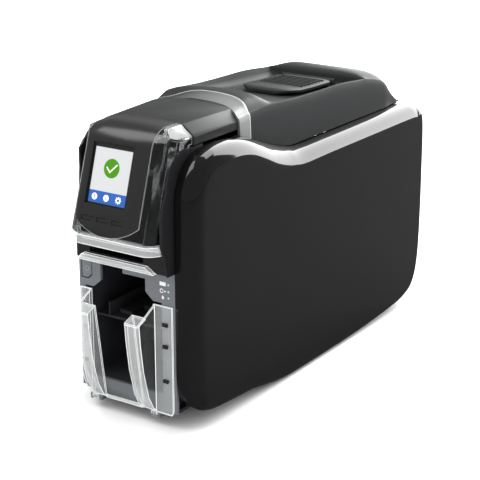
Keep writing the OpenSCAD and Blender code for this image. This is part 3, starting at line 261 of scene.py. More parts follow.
def clear_node(node, zone, radius, merged=True):
    """A copy of a CAD node in clear acrylic: zone picks each face's finish and painted sheen from its centre and
    normal.
    """
    finishes = {"acrylic_thin": acrylic, "acrylic_mid": acrylic, "acrylic_pale": acrylic, "frame_black": plastic}
    piece = rounded_node(node, 0, acrylic("acrylic_thin"), merged=merged)
    for name in list(finishes)[1:]:
        piece.data.materials.append(finishes[name](name))
    for face in piece.data.polygons:
        face.material_index = list(finishes).index(zone([c / MM for c in face.center], face.normal))
    return painted_edge_highlights(piece, node, radius)


def in_clip(point):
    """Whether a point in millimetres is on one of the guard's small clips."""
    x, y, z = point
    across = any(low < x < high for low, high in CLIP_RANGES)
    return y < -192 and across and any(abs(z - middle) < 1.6 for middle in CLIP_HEIGHTS)


def guard_zone(centre, normal):
    """The guard's clips are black, its strips, tops and floor pale with painted sheen, and its walls clear."""
    x, y, z = centre
    if in_clip(centre) and y < CLIP_BACK and not WALL_OUT < x < 0:
        return "frame_black"
    flange = abs(normal[1]) > 0.9 and y > FLANGE_FRONT
    floor = z < GUARD_FLOOR and abs(normal[0]) < 0.9 and not flange
    if normal[2] > 0.6 or floor or y < STRIP_BACK and normal[1] < -0.5:
        return "acrylic_pale"
    return "acrylic_mid" if abs(normal[1]) > 0.4 or x < 0 else "acrylic_thin"


def lip_zone(centre, normal):
    # faces turned up or forwards get the pale painted sheen, the rest a fainter one
    return "acrylic_pale" if normal[2] > 0.3 or normal[1] < -0.3 else "acrylic_mid"


# ---------------------------------------------------------------- flat shapes

def flat_shape(name, outlines, depth, placer):
    """Thin plates of the given outlines. placer turns (across, up, out) in millimetres into a point."""
    verts, faces = [], []
    for outline in outlines:
        n = len(outline)
        area = sum(a[0] * b[1] - b[0] * a[1] for a, b in zip(outline, outline[1:] + outline[:1]))
        points = outline if area > 0 else outline[::-1]
        faces += prism_faces(len(verts), n)
        verts += [placer(x, z, out) for out in (0.0, depth) for x, z in points]
    return clean_up(make_piece(name, verts, faces))


def circle(cx, cz, r, n):
    return [(cx + r * math.cos(k * math.tau / n), cz + r * math.sin(k * math.tau / n)) for k in range(n)]


def rectangle(x0, z0, x1, z1):
    return [(x0, z0), (x1, z0), (x1, z1), (x0, z1)]


def ring_pieces(cx, cz, r_out, r_in, start, end, n):
    """Part of a ring, from start to end in degrees, as n four-sided plates."""
    turns = [math.radians(start + (end - start) * k / n) for k in range(n + 1)]
    outer, inner = ([(cx + r * math.cos(a), cz + r * math.sin(a)) for a in turns] for r in (r_out, r_in))
    return [[inner[k], outer[k], outer[k + 1], inner[k + 1]] for k in range(n)]


def brick(x0, x1, y0, y1, z0, z1):
    verts = [(x, y, z) for x in (x0, x1) for y, z in rectangle(y0, z0, y1, z1)]
    return verts, prism_faces(0, 4)


def tube_along_x(x0, x1, cy, cz, r, n):
    return [(x, y, z) for x in (x0, x1) for y, z in circle(cy, cz, r, n)], prism_faces(0, n)


# ---------------------------------------------------------------- nodes

def connect(tree, value, socket):
    """Links an output to a socket, or sets the socket to a plain value."""
    if isinstance(value, bpy.types.NodeSocket):
        tree.links.new(value, socket)
    else:
        socket.default_value = value


def add_node(tree, kind, **sockets):
    """A node with its named inputs set or linked. An underscore in a name stands for a space."""
    node = tree.nodes.new(kind)
    for label, value in sockets.items():
        connect(tree, value, node.inputs[label.replace("_", " ")])
    return node


def mix_colours(tree, share, first, second, mode="MIX"):
    node = tree.nodes.new("ShaderNodeMix")
    node.data_type = "RGBA"
    node.blend_type = mode
    for index, value in ((0, share), (6, first), (7, second)):
        connect(tree, value, node.inputs[index])
    return node.outputs[2]


def maths(tree, operation, a, b):
    node = tree.nodes.new("ShaderNodeMath")
    node.operation = operation
    connect(tree, a, node.inputs[0])
    connect(tree, b, node.inputs[1])
    return node.outputs[0]


def new_group(name, inputs, outputs):
    """An empty shader node group with named inputs (name, default) and outputs, and its object coordinates."""
    group = bpy.data.node_groups.new(name, "ShaderNodeTree")
    for label, value in inputs:
        socket = group.interface.new_socket(label, in_out="INPUT", socket_type="NodeSocketFloat")
        socket.default_value = value
    for label in outputs:
        group.interface.new_socket(label, in_out="OUTPUT", socket_type="NodeSocketFloat")
    point = add_node(group, "ShaderNodeTexCoord").outputs["Object"]
    return group, add_node(group, "NodeGroupInput").outputs, add_node(group, "NodeGroupOutput").inputs, point


def noise(group, point, scale, detail, rough):
    return add_node(group, "ShaderNodeTexNoise", Vector=point, Scale=scale, Detail=detail,
                    Roughness=rough).outputs["Fac"]


def grain_group():
    """Fine moulded grain and smudges: puts out a height for a bump and a roughness."""
    group, given, result, point = new_group(
        "Moulded grain", [("Grain scale", 3000.0), ("Roughness", 0.4), ("Smudge", 0.05)], ["Height", "Roughness"])
    fine = noise(group, point, given["Grain scale"], 2.0, 0.5)
    broad = noise(group, point, 38.0, 4.0, 0.6)
    connect(group, fine, result["Height"])
    swing = maths(group, "MULTIPLY", maths(group, "SUBTRACT", broad, 0.5), given["Smudge"])
    half = maths(group, "MULTIPLY", given["Smudge"], 0.5)
    pits = maths(group, "MULTIPLY", maths(group, "SUBTRACT", fine, 0.5), half)
    total = maths(group, "ADD", maths(group, "ADD", given["Roughness"], swing), pits)
    connect(group, maths(group, "MAXIMUM", total, 0.02), result["Roughness"])
    return group


def tint_group():
    """Slight colour change from place to place: puts out a share for a colour mix."""
    group, given, result, point = new_group("Uneven tint", [("Scale", 20.0), ("Amount", 0.2)], ["Share"])
    cloud = noise(group, point, given["Scale"], 5.0, 0.6)
    connect(group, maths(group, "MULTIPLY", cloud, given["Amount"]), result["Share"])
    return group


def brushed_group():
    """Fine lines along one axis, as on rolled or turned metal."""
    group, given, result, point = new_group(
        "Brushed lines", [("Lines", 900.0), ("Roughness", 0.3), ("Swing", 0.15)], ["Height", "Roughness"])
    stretch = add_node(group, "ShaderNodeMapping", Vector=point, Scale=(0.04, 1.0, 1.0))
    lines = noise(group, stretch.outputs["Vector"], given["Lines"], 3.0, 0.7)
    connect(group, lines, result["Height"])
    swing = maths(group, "MULTIPLY", maths(group, "SUBTRACT", lines, 0.5), given["Swing"])
    connect(group, maths(group, "ADD", given["Roughness"], swing), result["Roughness"])
    return group


def rise_group():
    """A share that rises smoothly from one place to another across the object."""
    group, given, result, point = new_group("Rise across", [("From", 0.0), ("To", 1.0)], ["Share"])
    across = add_node(group, "ShaderNodeSeparateXYZ", Vector=point).outputs["X"]
    ramp = add_node(group, "ShaderNodeMapRange", Value=across, From_Min=given["From"], From_Max=given["To"])
    ramp.interpolation_type = "SMOOTHSTEP"
    connect(group, ramp.outputs["Result"], result["Share"])
    return group


GROUP_MAKERS = {"grain": grain_group, "tint": tint_group, "brushed": brushed_group, "rise": rise_group}
GROUPS = {}


def place_group(tree, key, **values):
    """A shared group placed in a material with its own values."""
    if key not in GROUPS:
        GROUPS[key] = GROUP_MAKERS[key]()
    node = tree.nodes.new("ShaderNodeGroup")
    node.node_tree = GROUPS[key]
    for label, value in values.items():
        node.inputs[label.replace("_", " ")].default_value = value
    return node


# ---------------------------------------------------------------- finishes

def once(maker):
    """Makes a named material only the first time that it is asked for."""
    return lambda name, *rest: bpy.data.materials.get(name) or maker(name, *rest)


def new_material(name):
    material = bpy.data.materials.new(name)
    material.use_nodes = True
    return material, material.node_tree, material.node_tree.nodes["Principled BSDF"]


def two_tones(tree, colour, gain, scale, amount):
    """A colour that drifts from place to place towards gain times itself."""
    first = (*colour[:3], 1.0)
    second = (*[min(c * gain, 1.0) for c in colour[:3]], 1.0)
    share = place_group(tree, "tint", Scale=scale, Amount=amount).outputs["Share"]
    return mix_colours(tree, share, first, second)


def roughen(tree, shader, relief, strength, distance):
    """Takes a surface's roughness and bump from a placed group."""
    connect(tree, relief.outputs["Roughness"], shader.inputs["Roughness"])
    if strength:
        bump = add_node(tree, "ShaderNodeBump", Strength=strength, Distance=distance,
                        Height=relief.outputs["Height"])
        connect(tree, bump.outputs["Normal"], shader.inputs["Normal"])


# name: (colour setting, gain of its second tone, roughness, smudge, grain scale, bump distance in micrometres,
# specular level)
FINISHES = {
    "piano_black": ("cover", 1.5, 0.06, 0.03, 260, 0.5, 0.5),
    "lid_charcoal": ("lid", 1.2, 0.36, 0.08, 5200, 6.0, 0.035),
    "cap_charcoal": ("lid", 1.2, 0.34, 0.08, 5200, 5.0, 0.06),
    # the brow's crest line, a painted highlight in the brow's pale grey
    "brow_line": ("brow", 1.2, 0.3, 0.05, 2400, 2.0, 0.5),
    "frame_black": ("frame", 1.4, 0.22, 0.08, 2400, 3.0, 0.4),
    "panel_gloss": ("panel", 1.4, 0.12, 0.05, 300, 0.8, 0.5),
    "inner_black": ("inner", 1.6, 0.55, 0.12, 2600, 9.0, 0.3),
    "smoked": ("bezel", 1.3, 0.28, 0.08, 2400, 3.0, 0.5),
    "rubber": ("rubber", 1.7, 0.78, 0.15, 1400, 14.0, 0.25),
    "board_green": ("board", 1.4, 0.35, 0.10, 1200, 5.0, 0.5),
    "film": ("film", 1.5, 0.18, 0.05, 500, 2.0, 0.5),
    "spool": ("spool", 1.4, 0.42, 0.08, 2400, 5.0, 0.5),
    "acetal": ("acetal", 1.1, 0.45, 0.08, 2400, 4.0, 0.5),
    "icon_white": ("icon", 1.05, 0.4, 0.05, 2000, 1.0, 0.5),
    "icon_grey": ("faint", 1.2, 0.4, 0.05, 2000, 1.0, 0.5),
}


@once
def plastic(name):
    """A moulded plastic, rubber or painted finish from its row in FINISHES."""
    key, gain, rough, smudge, scale, height, specular = FINISHES[name]
    material, tree, shader = new_material(name)
    colour = two_tones(tree, getattr(settings(), key + "_colour"), gain, 18.0, 0.8)
    connect(tree, colour, shader.inputs["Base Color"])
    grain = place_group(tree, "grain", Grain_scale=scale, Roughness=rough, Smudge=smudge)
    roughen(tree, shader, grain, 0.6, height * 1e-6)
    shader.inputs["Specular IOR Level"].default_value = specular
    return material


def brow_satin():
    """The brow's front face: charcoal on its left, a pale painted highlight where it turns towards the light."""
    material = plastic("brow_line").copy()
    material.name = "brow_satin"
    tree = material.node_tree
    base = tree.nodes["Principled BSDF"].inputs["Base Color"]
    dimmed_highlight = mix_colours(tree, 1.0, base.links[0].from_socket, (0.4, 0.4, 0.4, 1.0), "MULTIPLY")
    # painted highlight: the lid's charcoal on the left gives way to a dimmed brow grey on the right
    share = place_group(tree, "rise", From=-0.045, To=0.045).outputs["Share"]
    connect(tree, mix_colours(tree, share, (*settings().lid_colour, 1.0), dimmed_highlight), base)
    return material


# name: (colour, lines, roughness, its swing, metallic)
METALS = {
    "sheet_steel": ((0.50, 0.51, 0.52), 700, 0.36, 0.20, 1.0),
    "bright_steel": ((0.66, 0.67, 0.68), 1500, 0.20, 0.12, 1.0),
    "brass": ((0.72, 0.54, 0.26), 1300, 0.26, 0.12, 1.0),
    "anodised": ((0.74, 0.75, 0.76), 900, 0.34, 0.10, 1.0),
    "motor_enamel": ((0.05, 0.052, 0.055), 500, 0.42, 0.12, 0.3),
}


@once
def metal(name):
    """A metal or enamel with fine lines from its row in METALS."""
    colour, lines, rough, swing, metallic = METALS[name]
    material, tree, shader = new_material(name)
    shader.inputs["Metallic"].default_value = metallic
    connect(tree, two_tones(tree, colour, 1.2, 60.0, 0.6), shader.inputs["Base Color"])
    roughen(tree, shader, place_group(tree, "brushed", Lines=lines, Roughness=rough, Swing=swing), 0.4, 4e-6)
    return material


def smoked_clear():
    """The hood's smoked clear plastic."""
    material, tree, shader = new_material("hood_clear")
    shader.inputs["Base Color"].default_value = (*settings().hood_colour[:3], 1.0)
    shader.inputs["Transmission Weight"].default_value = 1.0
    shader.inputs["IOR"].default_value = 1.49
    roughen(tree, shader, place_group(tree, "grain", Grain_scale=300.0, Roughness=0.03, Smudge=0.03), 0.3, 1e-6)
    return material


# name: (share that it hides of what lies behind it, in the paler ones a painted sheen, roughness, painted glow that
# it carries)
ACRYLICS = {"acrylic_thin": (0.02, 0.05, 0.0), "acrylic_mid": (0.12, 0.08, 0.0),
            "acrylic_pale": (0.30, 0.12, 0.0), "acrylic_edge": (0.9, 0.2, 0.2)}


@once
def acrylic(name):
    """Clear acrylic seen through its face, painted paler at a slant, or painted as a glowing highlight along its
    edge.
    """
    cover, rough, glow = ACRYLICS[name]
    material, tree, shader = new_material(name)
    colour = two_tones(tree, settings().guard_colour, 0.92, 40.0, 0.8)
    connect(tree, colour, shader.inputs["Base Color"])
    connect(tree, colour, shader.inputs["Emission Color"])
    shader.inputs["Emission Strength"].default_value = glow
    shader.inputs["Alpha"].default_value = cover
    roughen(tree, shader, place_group(tree, "grain", Grain_scale=300.0, Roughness=rough, Smudge=0.03), 0.3, 1.5e-6)
    return material


@once
def lit(name, colour, strength=1.0):
    """A backlit surface with a little uneven light in it."""
    material, tree, shader = new_material(name)
    shader.inputs["Base Color"].default_value = (*[c * 0.3 for c in colour], 1.0)
    shader.inputs["Emission Strength"].default_value = strength
    connect(tree, two_tones(tree, colour, 0.94, 30.0, 0.5), shader.inputs["Emission Color"])
    roughen(tree, shader, place_group(tree, "grain", Grain_scale=900.0, Roughness=0.2, Smudge=0.03), 0.0, 0.0)
    return material


# material of a CAD node that keeps its own shape, by its slot
METAL_OF = {"steel": "sheet_steel", "bright_steel": "bright_steel", "brass": "brass", "head_metal": "anodised",
            "motor": "motor_enamel", "arm_steel": "motor_enamel"}
PLASTIC_OF = {
    "cover_black": "frame_black", "charcoal": "lid_charcoal", "inner_black": "inner_black", "rubber": "rubber",
    "smoked": "smoked", "panel_gloss": "panel_gloss", "board": "board_green", "ribbon": "film",
    "spool_blue": "spool", "gear_plastic": "acetal", "screen": "panel_gloss", "light": "icon_white"}


def finish_for(node):
    slot = SLOTS[node]
    return metal(METAL_OF[slot]) if slot in METAL_OF else plastic(PLASTIC_OF[slot])


# ---------------------------------------------------------------- side covers

FRONT_Y, REAR_Y = -194.0, 219.0
FRONT_TOP, REAR_TOP, FRONT_LOW, REAR_LOW = 248.0, 217.0, 12.0, 1.2
COVER_X, RIM_X, COVER_WALL, RIM_SKIN = 79.0, 57.0, 2.4, 0.8
COVER_CENTRE, COVER_STEPS = np.array([10.0, 112.0]), 8
# the left cover's front: how far it is set back, from where on, and how far its swell takes to grow
SWEEP_BACK, SWEEP_FROM, SWEEP_LENGTH = 16.0, -60.0, 60.0
# y where the top and the bottom start to step down and how far that takes, and the top step's middle and reach
TOP_WAVE, LOW_WAVE = (-130.0, 125.0), (-130.0, 95.0)
STEP_MIDDLE, STEP_REACH = -58, 34


def cover_top(y):
    return mix(FRONT_TOP, REAR_TOP, rise(y, *TOP_WAVE))


def cover_bottom(y):
    return mix(FRONT_LOW, REAR_LOW, rise(y, *LOW_WAVE))


def cover_outline(steps):
    """Side view of a cover, once round."""
    return smooth_loop([
        (FRONT_Y, 70), (FRONT_Y + 1, 42), (FRONT_Y + 8, FRONT_LOW + 11), (FRONT_Y + 24, FRONT_LOW + 3.5),
        (-142, FRONT_LOW + 0.5), (-104, cover_bottom(-104)), (-80, cover_bottom(-80)), (-56, cover_bottom(-56)),
        (-30, REAR_LOW), (30, REAR_LOW), (90, REAR_LOW + 0.8), (150, REAR_LOW + 4), (REAR_Y - 33, REAR_LOW + 8.5),
        (REAR_Y - 13, REAR_LOW + 20), (REAR_Y - 3, REAR_LOW + 47), (REAR_Y, 100), (REAR_Y, 150),
        (REAR_Y - 0.5, REAR_TOP - 32), (REAR_Y - 2.5, REAR_TOP - 16), (REAR_Y - 8, REAR_TOP - 5.5),
        (REAR_Y - 18, REAR_TOP - 1), (REAR_Y - 40, REAR_TOP), (110, REAR_TOP),
        (40, REAR_TOP), (-12, cover_top(-12)), (-36, cover_top(-36)), (-60, cover_top(-60)), (-84, cover_top(-84)),
        (-108, cover_top(-108)), (-134, FRONT_TOP), (FRONT_Y + 34, FRONT_TOP - 2.5),
        (FRONT_Y + 14, FRONT_TOP - 12), (FRONT_Y + 2, FRONT_TOP - 33), (FRONT_Y, FRONT_TOP - 68),
        (FRONT_Y, 120)], steps)


def swept(points, skin):
    """The left cover's points: its front edge set back and its swell growing out of the rim."""
    y = points[:, 1] + SWEEP_BACK * np.clip((SWEEP_FROM - points[:, 1]) / (SWEEP_FROM - FRONT_Y), 0, 1) ** 2
    share = mix(0.05, 1.0, np.sin(math.pi / 2 * np.clip((y - FRONT_Y - SWEEP_BACK) / SWEEP_LENGTH, 0, 1)))
    x = np.maximum(RIM_X, RIM_X + (points[:, 0] + skin - RIM_X) * share - skin)
    return np.column_stack([x, y, points[:, 2]])


def build_cover(side):
    """A pillowed shell: rings stepped inwards round the outline, a faint crown on the flat, and a wall behind."""
    outline = cover_outline(COVER_STEPS)
    n = len(outline)
    along = np.roll(outline, -1, 0) - np.roll(outline, 1, 0)
    along /= np.linalg.norm(along, axis=1)[:, None]
    normal = np.stack([along[:, 1], -along[:, 0]], 1)
    broad = np.array([ease(0.5 + 0.63 * (m[1] - m[0])) for m in normal])
    step = np.exp(-((outline[:, 0] - STEP_MIDDLE) / STEP_REACH) ** 2) * np.maximum(normal[:, 1], 0)
    radius = mix(length("edge_radius"), length("shoulder_radius"), broad) + length("wave_radius") * step

    def ring(angle, skin):
        a = math.radians(angle)
        p = outline - (radius * (1 - math.cos(a)) + skin)[:, None] * normal
        return np.column_stack([COVER_X - radius * (1 - math.sin(a)) - skin, p])

    def rim(skin):
        return np.column_stack([np.full(n, RIM_X), outline - skin * normal])

    edge, crown = ring(90, 0), length("cover_crown")
    turns = np.linspace(0, 90, 16)
    rings = [rim(RIM_SKIN)] + [ring(a, 0) for a in turns]
    for share in (0.985, 0.95, 0.85, 0.7, 0.5, 0.3, 0.12):
        flat = COVER_CENTRE + (edge[:, 1:] - COVER_CENTRE) * share
        rings.append(np.column_stack([np.full(n, COVER_X - crown * share * share), flat]))
    for k, turn in enumerate(turns, 1):
        rings[k][:, 0] -= crown * math.sin(math.radians(turn)) ** 2
    outer = len(rings)
    rings += [ring(90, COVER_WALL), ring(50, COVER_WALL), rim(RIM_SKIN + COVER_WALL)]
    if side < 0:
        rings = [swept(points, COVER_WALL if outer <= k < len(rings) - 1 else 0) for k, points in enumerate(rings)]
    verts = np.concatenate(rings)
    faces = []
    for k in range(len(rings)):
        a, b = k * n, ((k + 1) % len(rings)) * n
        if k == outer - 1:
            faces += [list(range(b - 1, a - 1, -1)), list(range(b, b + n))]
        else:
            faces += [[a + i, b + i, b + (i + 1) % n, a + (i + 1) % n] for i in range(n)]
    verts[:, 0] *= side
    piece = make_piece("right_side_cover" if side > 0 else "left_side_cover", verts, faces)
    return shade(clean_up(piece), 40)


# ---------------------------------------------------------------- lid

# y on the centre line, bow towards the front at the sides, centre height, ridge height, flatness
LID_ROWS = [(-75, -22, 264.6, 259, 6), (-62, -24, 266.4, 260, 6), (-54, -26, 267.9, 260.6, 6),
            (-42, -24, 267.7, 261.2, 6), (-32, -20, 266.3, 261.8, 6), (-22, -13, 259, 261.4, 6),
            (-8, -5, 254, 260, 8), (6, 0, 252, 259, 10), (40, 0, 249.5, 258.2, 10), (80, 0, 247.5, 257.6, 10),
            (118, 0, 245.5, 254.4, 10), (126, 0, 246, 254, 10), (130, 0, 256, 253.7, 7), (150, 0, 257.2, 249.8, 7),
            (166, 0, 251.6, 244.2, 7), (182, 0, 241.2, 231.8, 8), (195, 0, 228, 221.6, 8), (202, 0, 219, 218, 10)]
# rows drawn between two of the rows above, and the row where the brow's crest runs
LID_STEPS, CREST_ROW = 8, 2
LID_HALF, LID_WALL, LID_GAP, LID_REAR, BOW_HALF = 58.8, 2.5, 0.2, 203.0, 56.0
# share of the width that the lid loses towards its rear, where that starts and how far it takes
REAR_TAPER, TAPER_FROM, TAPER_LENGTH = 0.045, 165, 25
# where the fall of the left front corner starts, and how far it takes, across, forwards and upwards
BROW_FALL_X, BROW_FALL_Y, BROW_FALL_Z = (8, 34), (46, 22), (244, 14)
# shares of the half width over the ridge, and the share of the side's height that the lid has risen there
EDGE_SHARES = np.array([1, 0.992, 0.985, 0.974, 0.962, 0.948])
EDGE_RISE = np.array([0, 0.5, 0.84, 0.96, 0.99, 1.0])


def lid_row_point(row, share, skin):
    """A point of the lid at a share of its half width, skin millimetres below its outside."""
    front, bow, crown, side, flatness = row
    x = share * LID_HALF * (1 - REAR_TAPER * rise(front, TAPER_FROM, TAPER_LENGTH))
    x_in = max(x - skin, 0.0)
    y = min(front + bow * (min(x_in, BOW_HALF) / BOW_HALF) ** 2, LID_REAR)
    low = cover_top(y) + LID_GAP
    ridge = EDGE_SHARES[-1]
    top = mix(crown, side, min(share / ridge, 1.0) ** flatness)
    if share > ridge:
        top = mix(low, side, float(np.interp(share, EDGE_SHARES[::-1], EDGE_RISE[::-1])))
    return x_in, y, max(top if share >= 1 else top - skin, low + 0.2 * (1 - share))


def lid_grid():
    """The lid's rows from front to rear and its columns as (side, share of the half width)."""
    across = np.concatenate([np.linspace(1, 0.948, 14), np.linspace(0.94, 0.5, 24), np.linspace(0.46, 0, 8)])
    return smooth_rows(LID_ROWS, LID_STEPS), [(1, v) for v in across] + [(-1, v) for v in across[-2::-1]]


def build_lid():
    """The lid's shell, its left front corner falling away."""
    rows, columns = lid_grid()
    verts = []
    for skin in (0.0, LID_WALL):
        for row in rows:
            for side, share in columns:
                x, y, z = lid_row_point(row, share, skin)
                if side < 0:
                    z -= length("brow_fall") * rise(x, *BROW_FALL_X) * rise(-y, *BROW_FALL_Y) * rise(z, *BROW_FALL_Z)
                verts.append((side * x, y, z))
    piece = make_piece("lid_shell", verts, sheet_faces(len(rows), len(columns)))
    return shade(clean_up(piece), 40)


def paint_brow_highlights(piece):
    """Paints highlights on the lid's brow: a pale sheen on its front face and a bright line along its crest."""
    piece.data.materials.append(brow_satin())
    piece.data.materials.append(plastic("brow_line"))
    rows, columns = lid_grid()
    # sheet_faces gives each row a pair of faces per step across and the two sides, then the front end's faces
    row, crest, ends = 2 * len(columns), CREST_ROW * LID_STEPS, 2 * len(columns) * (len(rows) - 1)
    for face in piece.data.polygons:
        if crest - 1 <= face.index / row < crest:
            face.material_index = 2
        elif face.index < row * crest or ends <= face.index < ends + len(columns) - 1:
            face.material_index = 1


# ---------------------------------------------------------------- latch paddle

PADDLE_FRONT, PADDLE_REAR, PADDLE_HALF, PADDLE_T = 28.0, 108.6, 31.0, 3.0
PADDLE_TOP = [(-1, 253.4), (1.5, 255), (5, 255.8), (12, 255.4), (22, 254.4), (40, 253.6), (81.6, 252.4)]
FRONT_ROUND, REAR_ROUND, SIDE_DROP = 20.0, 9.0, 0.5
# how far behind the paddle's front its first rib lies, a rib's length and the share of its radius that it rises
RIBS_FROM, RIB_LENGTH, RIB_RISE = 34, 48, 0.6
# the pivot barrel's half length, axis and radius, and the tab's ranges in depth and height that join it to the plate
BARREL_HALF, BARREL_Y, BARREL_Z, BARREL_R = 26.6, 112.0, 250.5, 2.6
TAB_Y, TAB_Z = (107.6, BARREL_Y), (249.9, 252.3)


def paddle_height(y):
    ys, zs = zip(*PADDLE_TOP)
    return float(np.interp(y - PADDLE_FRONT, ys, zs))


def build_paddle():
    """The paddle's plate, with round corners in plan and a raised, rolled front."""
    turns = [1 - np.cos(np.linspace(*ends)) for ends in ((0.12, math.pi / 2, 13), (math.pi / 2, 0.12, 9))]
    straight = np.linspace(PADDLE_FRONT + FRONT_ROUND, PADDLE_REAR - REAR_ROUND, 18)[1:]
    ys = np.concatenate([PADDLE_FRONT + FRONT_ROUND * turns[0], straight, PADDLE_REAR - REAR_ROUND * turns[1][1:]])
    across = np.linspace(-1, 1, 21)
    verts = []
    for drop, thick in ((SIDE_DROP, 0.0), (0.0, PADDLE_T)):
        for y in ys:
            front = y < PADDLE_FRONT + FRONT_ROUND
            radius, inset = (FRONT_ROUND, y - PADDLE_FRONT) if front else (REAR_ROUND, PADDLE_REAR - y)
            half = PADDLE_HALF - radius + math.sqrt(max(radius ** 2 - max(radius - inset, 0.0) ** 2, 0.0))
            verts += [(a * half, y, paddle_height(y) - thick - drop * abs(a) ** 8) for a in across]
    piece = clean_up(make_piece("latch_paddle_plate", verts, sheet_faces(len(ys), len(across))))
    return soften(shade(piece, 40), 0.6, 40)


# ---------------------------------------------------------------- repeated parts

def set_input(modifier, tree, label, value):
    """Sets a modifier's input by its socket's identifier."""
    for item in tree.interface.items_tree:
        if item.item_type == "SOCKET" and item.in_out == "INPUT" and item.name == label:
            modifier[item.identifier] = value
            return
    raise ValueError(f"the node tree has no input named {label}")


def geometry_tree(name, inputs):
    """A geometry node tree with named inputs (name, kind, default): the tree and its inputs' sockets."""
    tree = bpy.data.node_groups.new(name, "GeometryNodeTree")
    for label, kind, value in [*inputs, ("Material", "Material", None)]:
        socket = tree.interface.new_socket(label, in_out="INPUT", socket_type="NodeSocket" + kind)
        if value is not None:
            socket.default_value = value
    tree.interface.new_socket("Geometry", in_out="OUTPUT", socket_type="NodeSocketGeometry")
    return tree, add_node(tree, "NodeGroupInput").outputs


def place_on_points(tree, given, points, instance):
    """Ends a tree in realised instances with the material that its input names."""
    put = add_node(tree, "GeometryNodeInstanceOnPoints", Points=points, Instance=instance)
    real = add_node(tree, "GeometryNodeRealizeInstances", Geometry=put.outputs["Instances"])
    paint = add_node(tree, "GeometryNodeSetMaterial", Geometry=real.outputs["Geometry"],
                     Material=given["Material"])
    add_node(tree, "NodeGroupOutput", Geometry=paint.outputs["Geometry"])
    return tree


def grow(name, tree, values):
    """Runs a geometry node tree on an empty mesh and returns its result as a plain mesh object."""
    seed = make_piece(name + "_seed", [], [])
    modifier = seed.modifiers.new("Pattern", "NODES")
    modifier.node_group = tree
    for label, value in values.items():
        set_input(modifier, tree, label, value)
    bpy.context.view_layer.update()
    mesh = bpy.data.meshes.new_from_object(seed.evaluated_get(bpy.context.evaluated_depsgraph_get()))
    mesh.name = name
    bpy.data.objects.remove(seed)
    return place(name, mesh)


def rib_tree():
    """Evenly spaced half-round ribs lying across a line."""
    tree, given = geometry_tree("Row of ribs", [
        ("Count", "Int", 7), ("Start", "Vector", None), ("Step", "Vector", None), ("Length", "Float", 0.05),
        ("Radius", "Float", 0.001), ("Height share", "Float", 0.8)])
    line = add_node(tree, "GeometryNodeMeshLine", Count=given["Count"], Start_Location=given["Start"],
                    Offset=given["Step"])
    bar = add_node(tree, "GeometryNodeMeshCylinder", Vertices=14, Depth=given["Length"], Radius=given["Radius"])
    lay = add_node(tree, "GeometryNodeTransform", Geometry=bar.outputs["Mesh"], Rotation=(0.0, math.pi / 2, 0.0))
    size = add_node(tree, "ShaderNodeCombineXYZ", X=1.0, Y=1.0, Z=given["Height share"])
    squash = add_node(tree, "GeometryNodeTransform", Geometry=lay.outputs["Geometry"],
                      Scale=size.outputs["Vector"])
    return place_on_points(tree, given, line.outputs["Mesh"], squash.outputs["Geometry"])


# the middle of the rear screws' grid, in metres
SCREWS_AT = (0.0, 0.2096, 0.155)


def screw_tree():
    """Cross-recessed screw heads on a grid, facing along +Z before they are placed."""
    tree, given = geometry_tree("Screw heads", [
        ("Columns", "Int", 2), ("Rows", "Int", 2), ("Width", "Float", 0.08), ("Depth", "Float", 0.2),
        ("Radius", "Float", 0.0028), ("Head", "Float", 0.0012)])
    grid = add_node(tree, "GeometryNodeMeshGrid", Size_X=given["Width"], Size_Y=given["Depth"],
                    Vertices_X=given["Columns"], Vertices_Y=given["Rows"])
    head = add_node(tree, "GeometryNodeMeshCylinder", Vertices=24, Radius=given["Radius"], Depth=given["Head"])
    hollow = add_node(tree, "GeometryNodeMeshBoolean")
    hollow.operation = "DIFFERENCE"
    connect(tree, head.outputs["Mesh"], hollow.inputs["Mesh 1"])
    for turn in (0.0, math.pi / 2):
        cut = add_node(tree, "GeometryNodeMeshCube", Size=(0.0034, 0.0008, 0.0016))
        move = add_node(tree, "GeometryNodeTransform", Geometry=cut.outputs["Mesh"], Rotation=(0.0, 0.0, turn),
                        Translation=(0.0, 0.0, 0.0009))
        connect(tree, move.outputs["Geometry"], hollow.inputs["Mesh 2"])
    return place_on_points(tree, given, grid.outputs["Mesh"], hollow.outputs["Mesh"])


# ---------------------------------------------------------------- screen and symbols

# a point on the tilted screen face, its tilt, and how far the lit screen lies behind that face
FACE_Y, FACE_Z, FACE_TILT, FACE_DEPTH = -200.7, 221.3, math.radians(17.2), 2.05
# middle, width and height of the lit screen and the top of its bar, then its disc, tick, keys and gear
SCREEN_X, SCREEN_W, SCREEN_H, BAR_TOP = -4.6, 39.2, 47.3, -13.3
DISC_UP, DISC_R, TICK_SIZE = 7.0, 8.25, 14.0
KEY_UP, KEY_PITCH, KEY_R, GEAR_R = -18.5, 12.4, 2.9, 3.2
# front faces of the bezel and the power button, the button's middle, half sizes and cut corners, and the width of the
# painted shadow in the gap round it, a dark strip that is narrower at its top
BEZEL_Y, BUTTON_Y = -192.0, -191.8
POWER_X, POWER_Z, POWER_HALF_W, POWER_HALF_H, POWER_CORNER = -39.8, 132.4, 5.5, 10.5, 4
GAP_SHADOW, GAP_SHADOW_TOP = 0.7, 0.2


def on_face(x, up, out):
    """A point across, up and out from the lit screen, which lies on the tilted face."""
    inward = FACE_DEPTH - out
    return (x, FACE_Y + up * math.sin(FACE_TILT) + inward * math.cos(FACE_TILT),
            FACE_Z + up * math.cos(FACE_TILT) - inward * math.sin(FACE_TILT))


def on_front(y):
    """Placer for points on an upright front face at y."""
    return lambda x, z, out: (x, y - out, z)


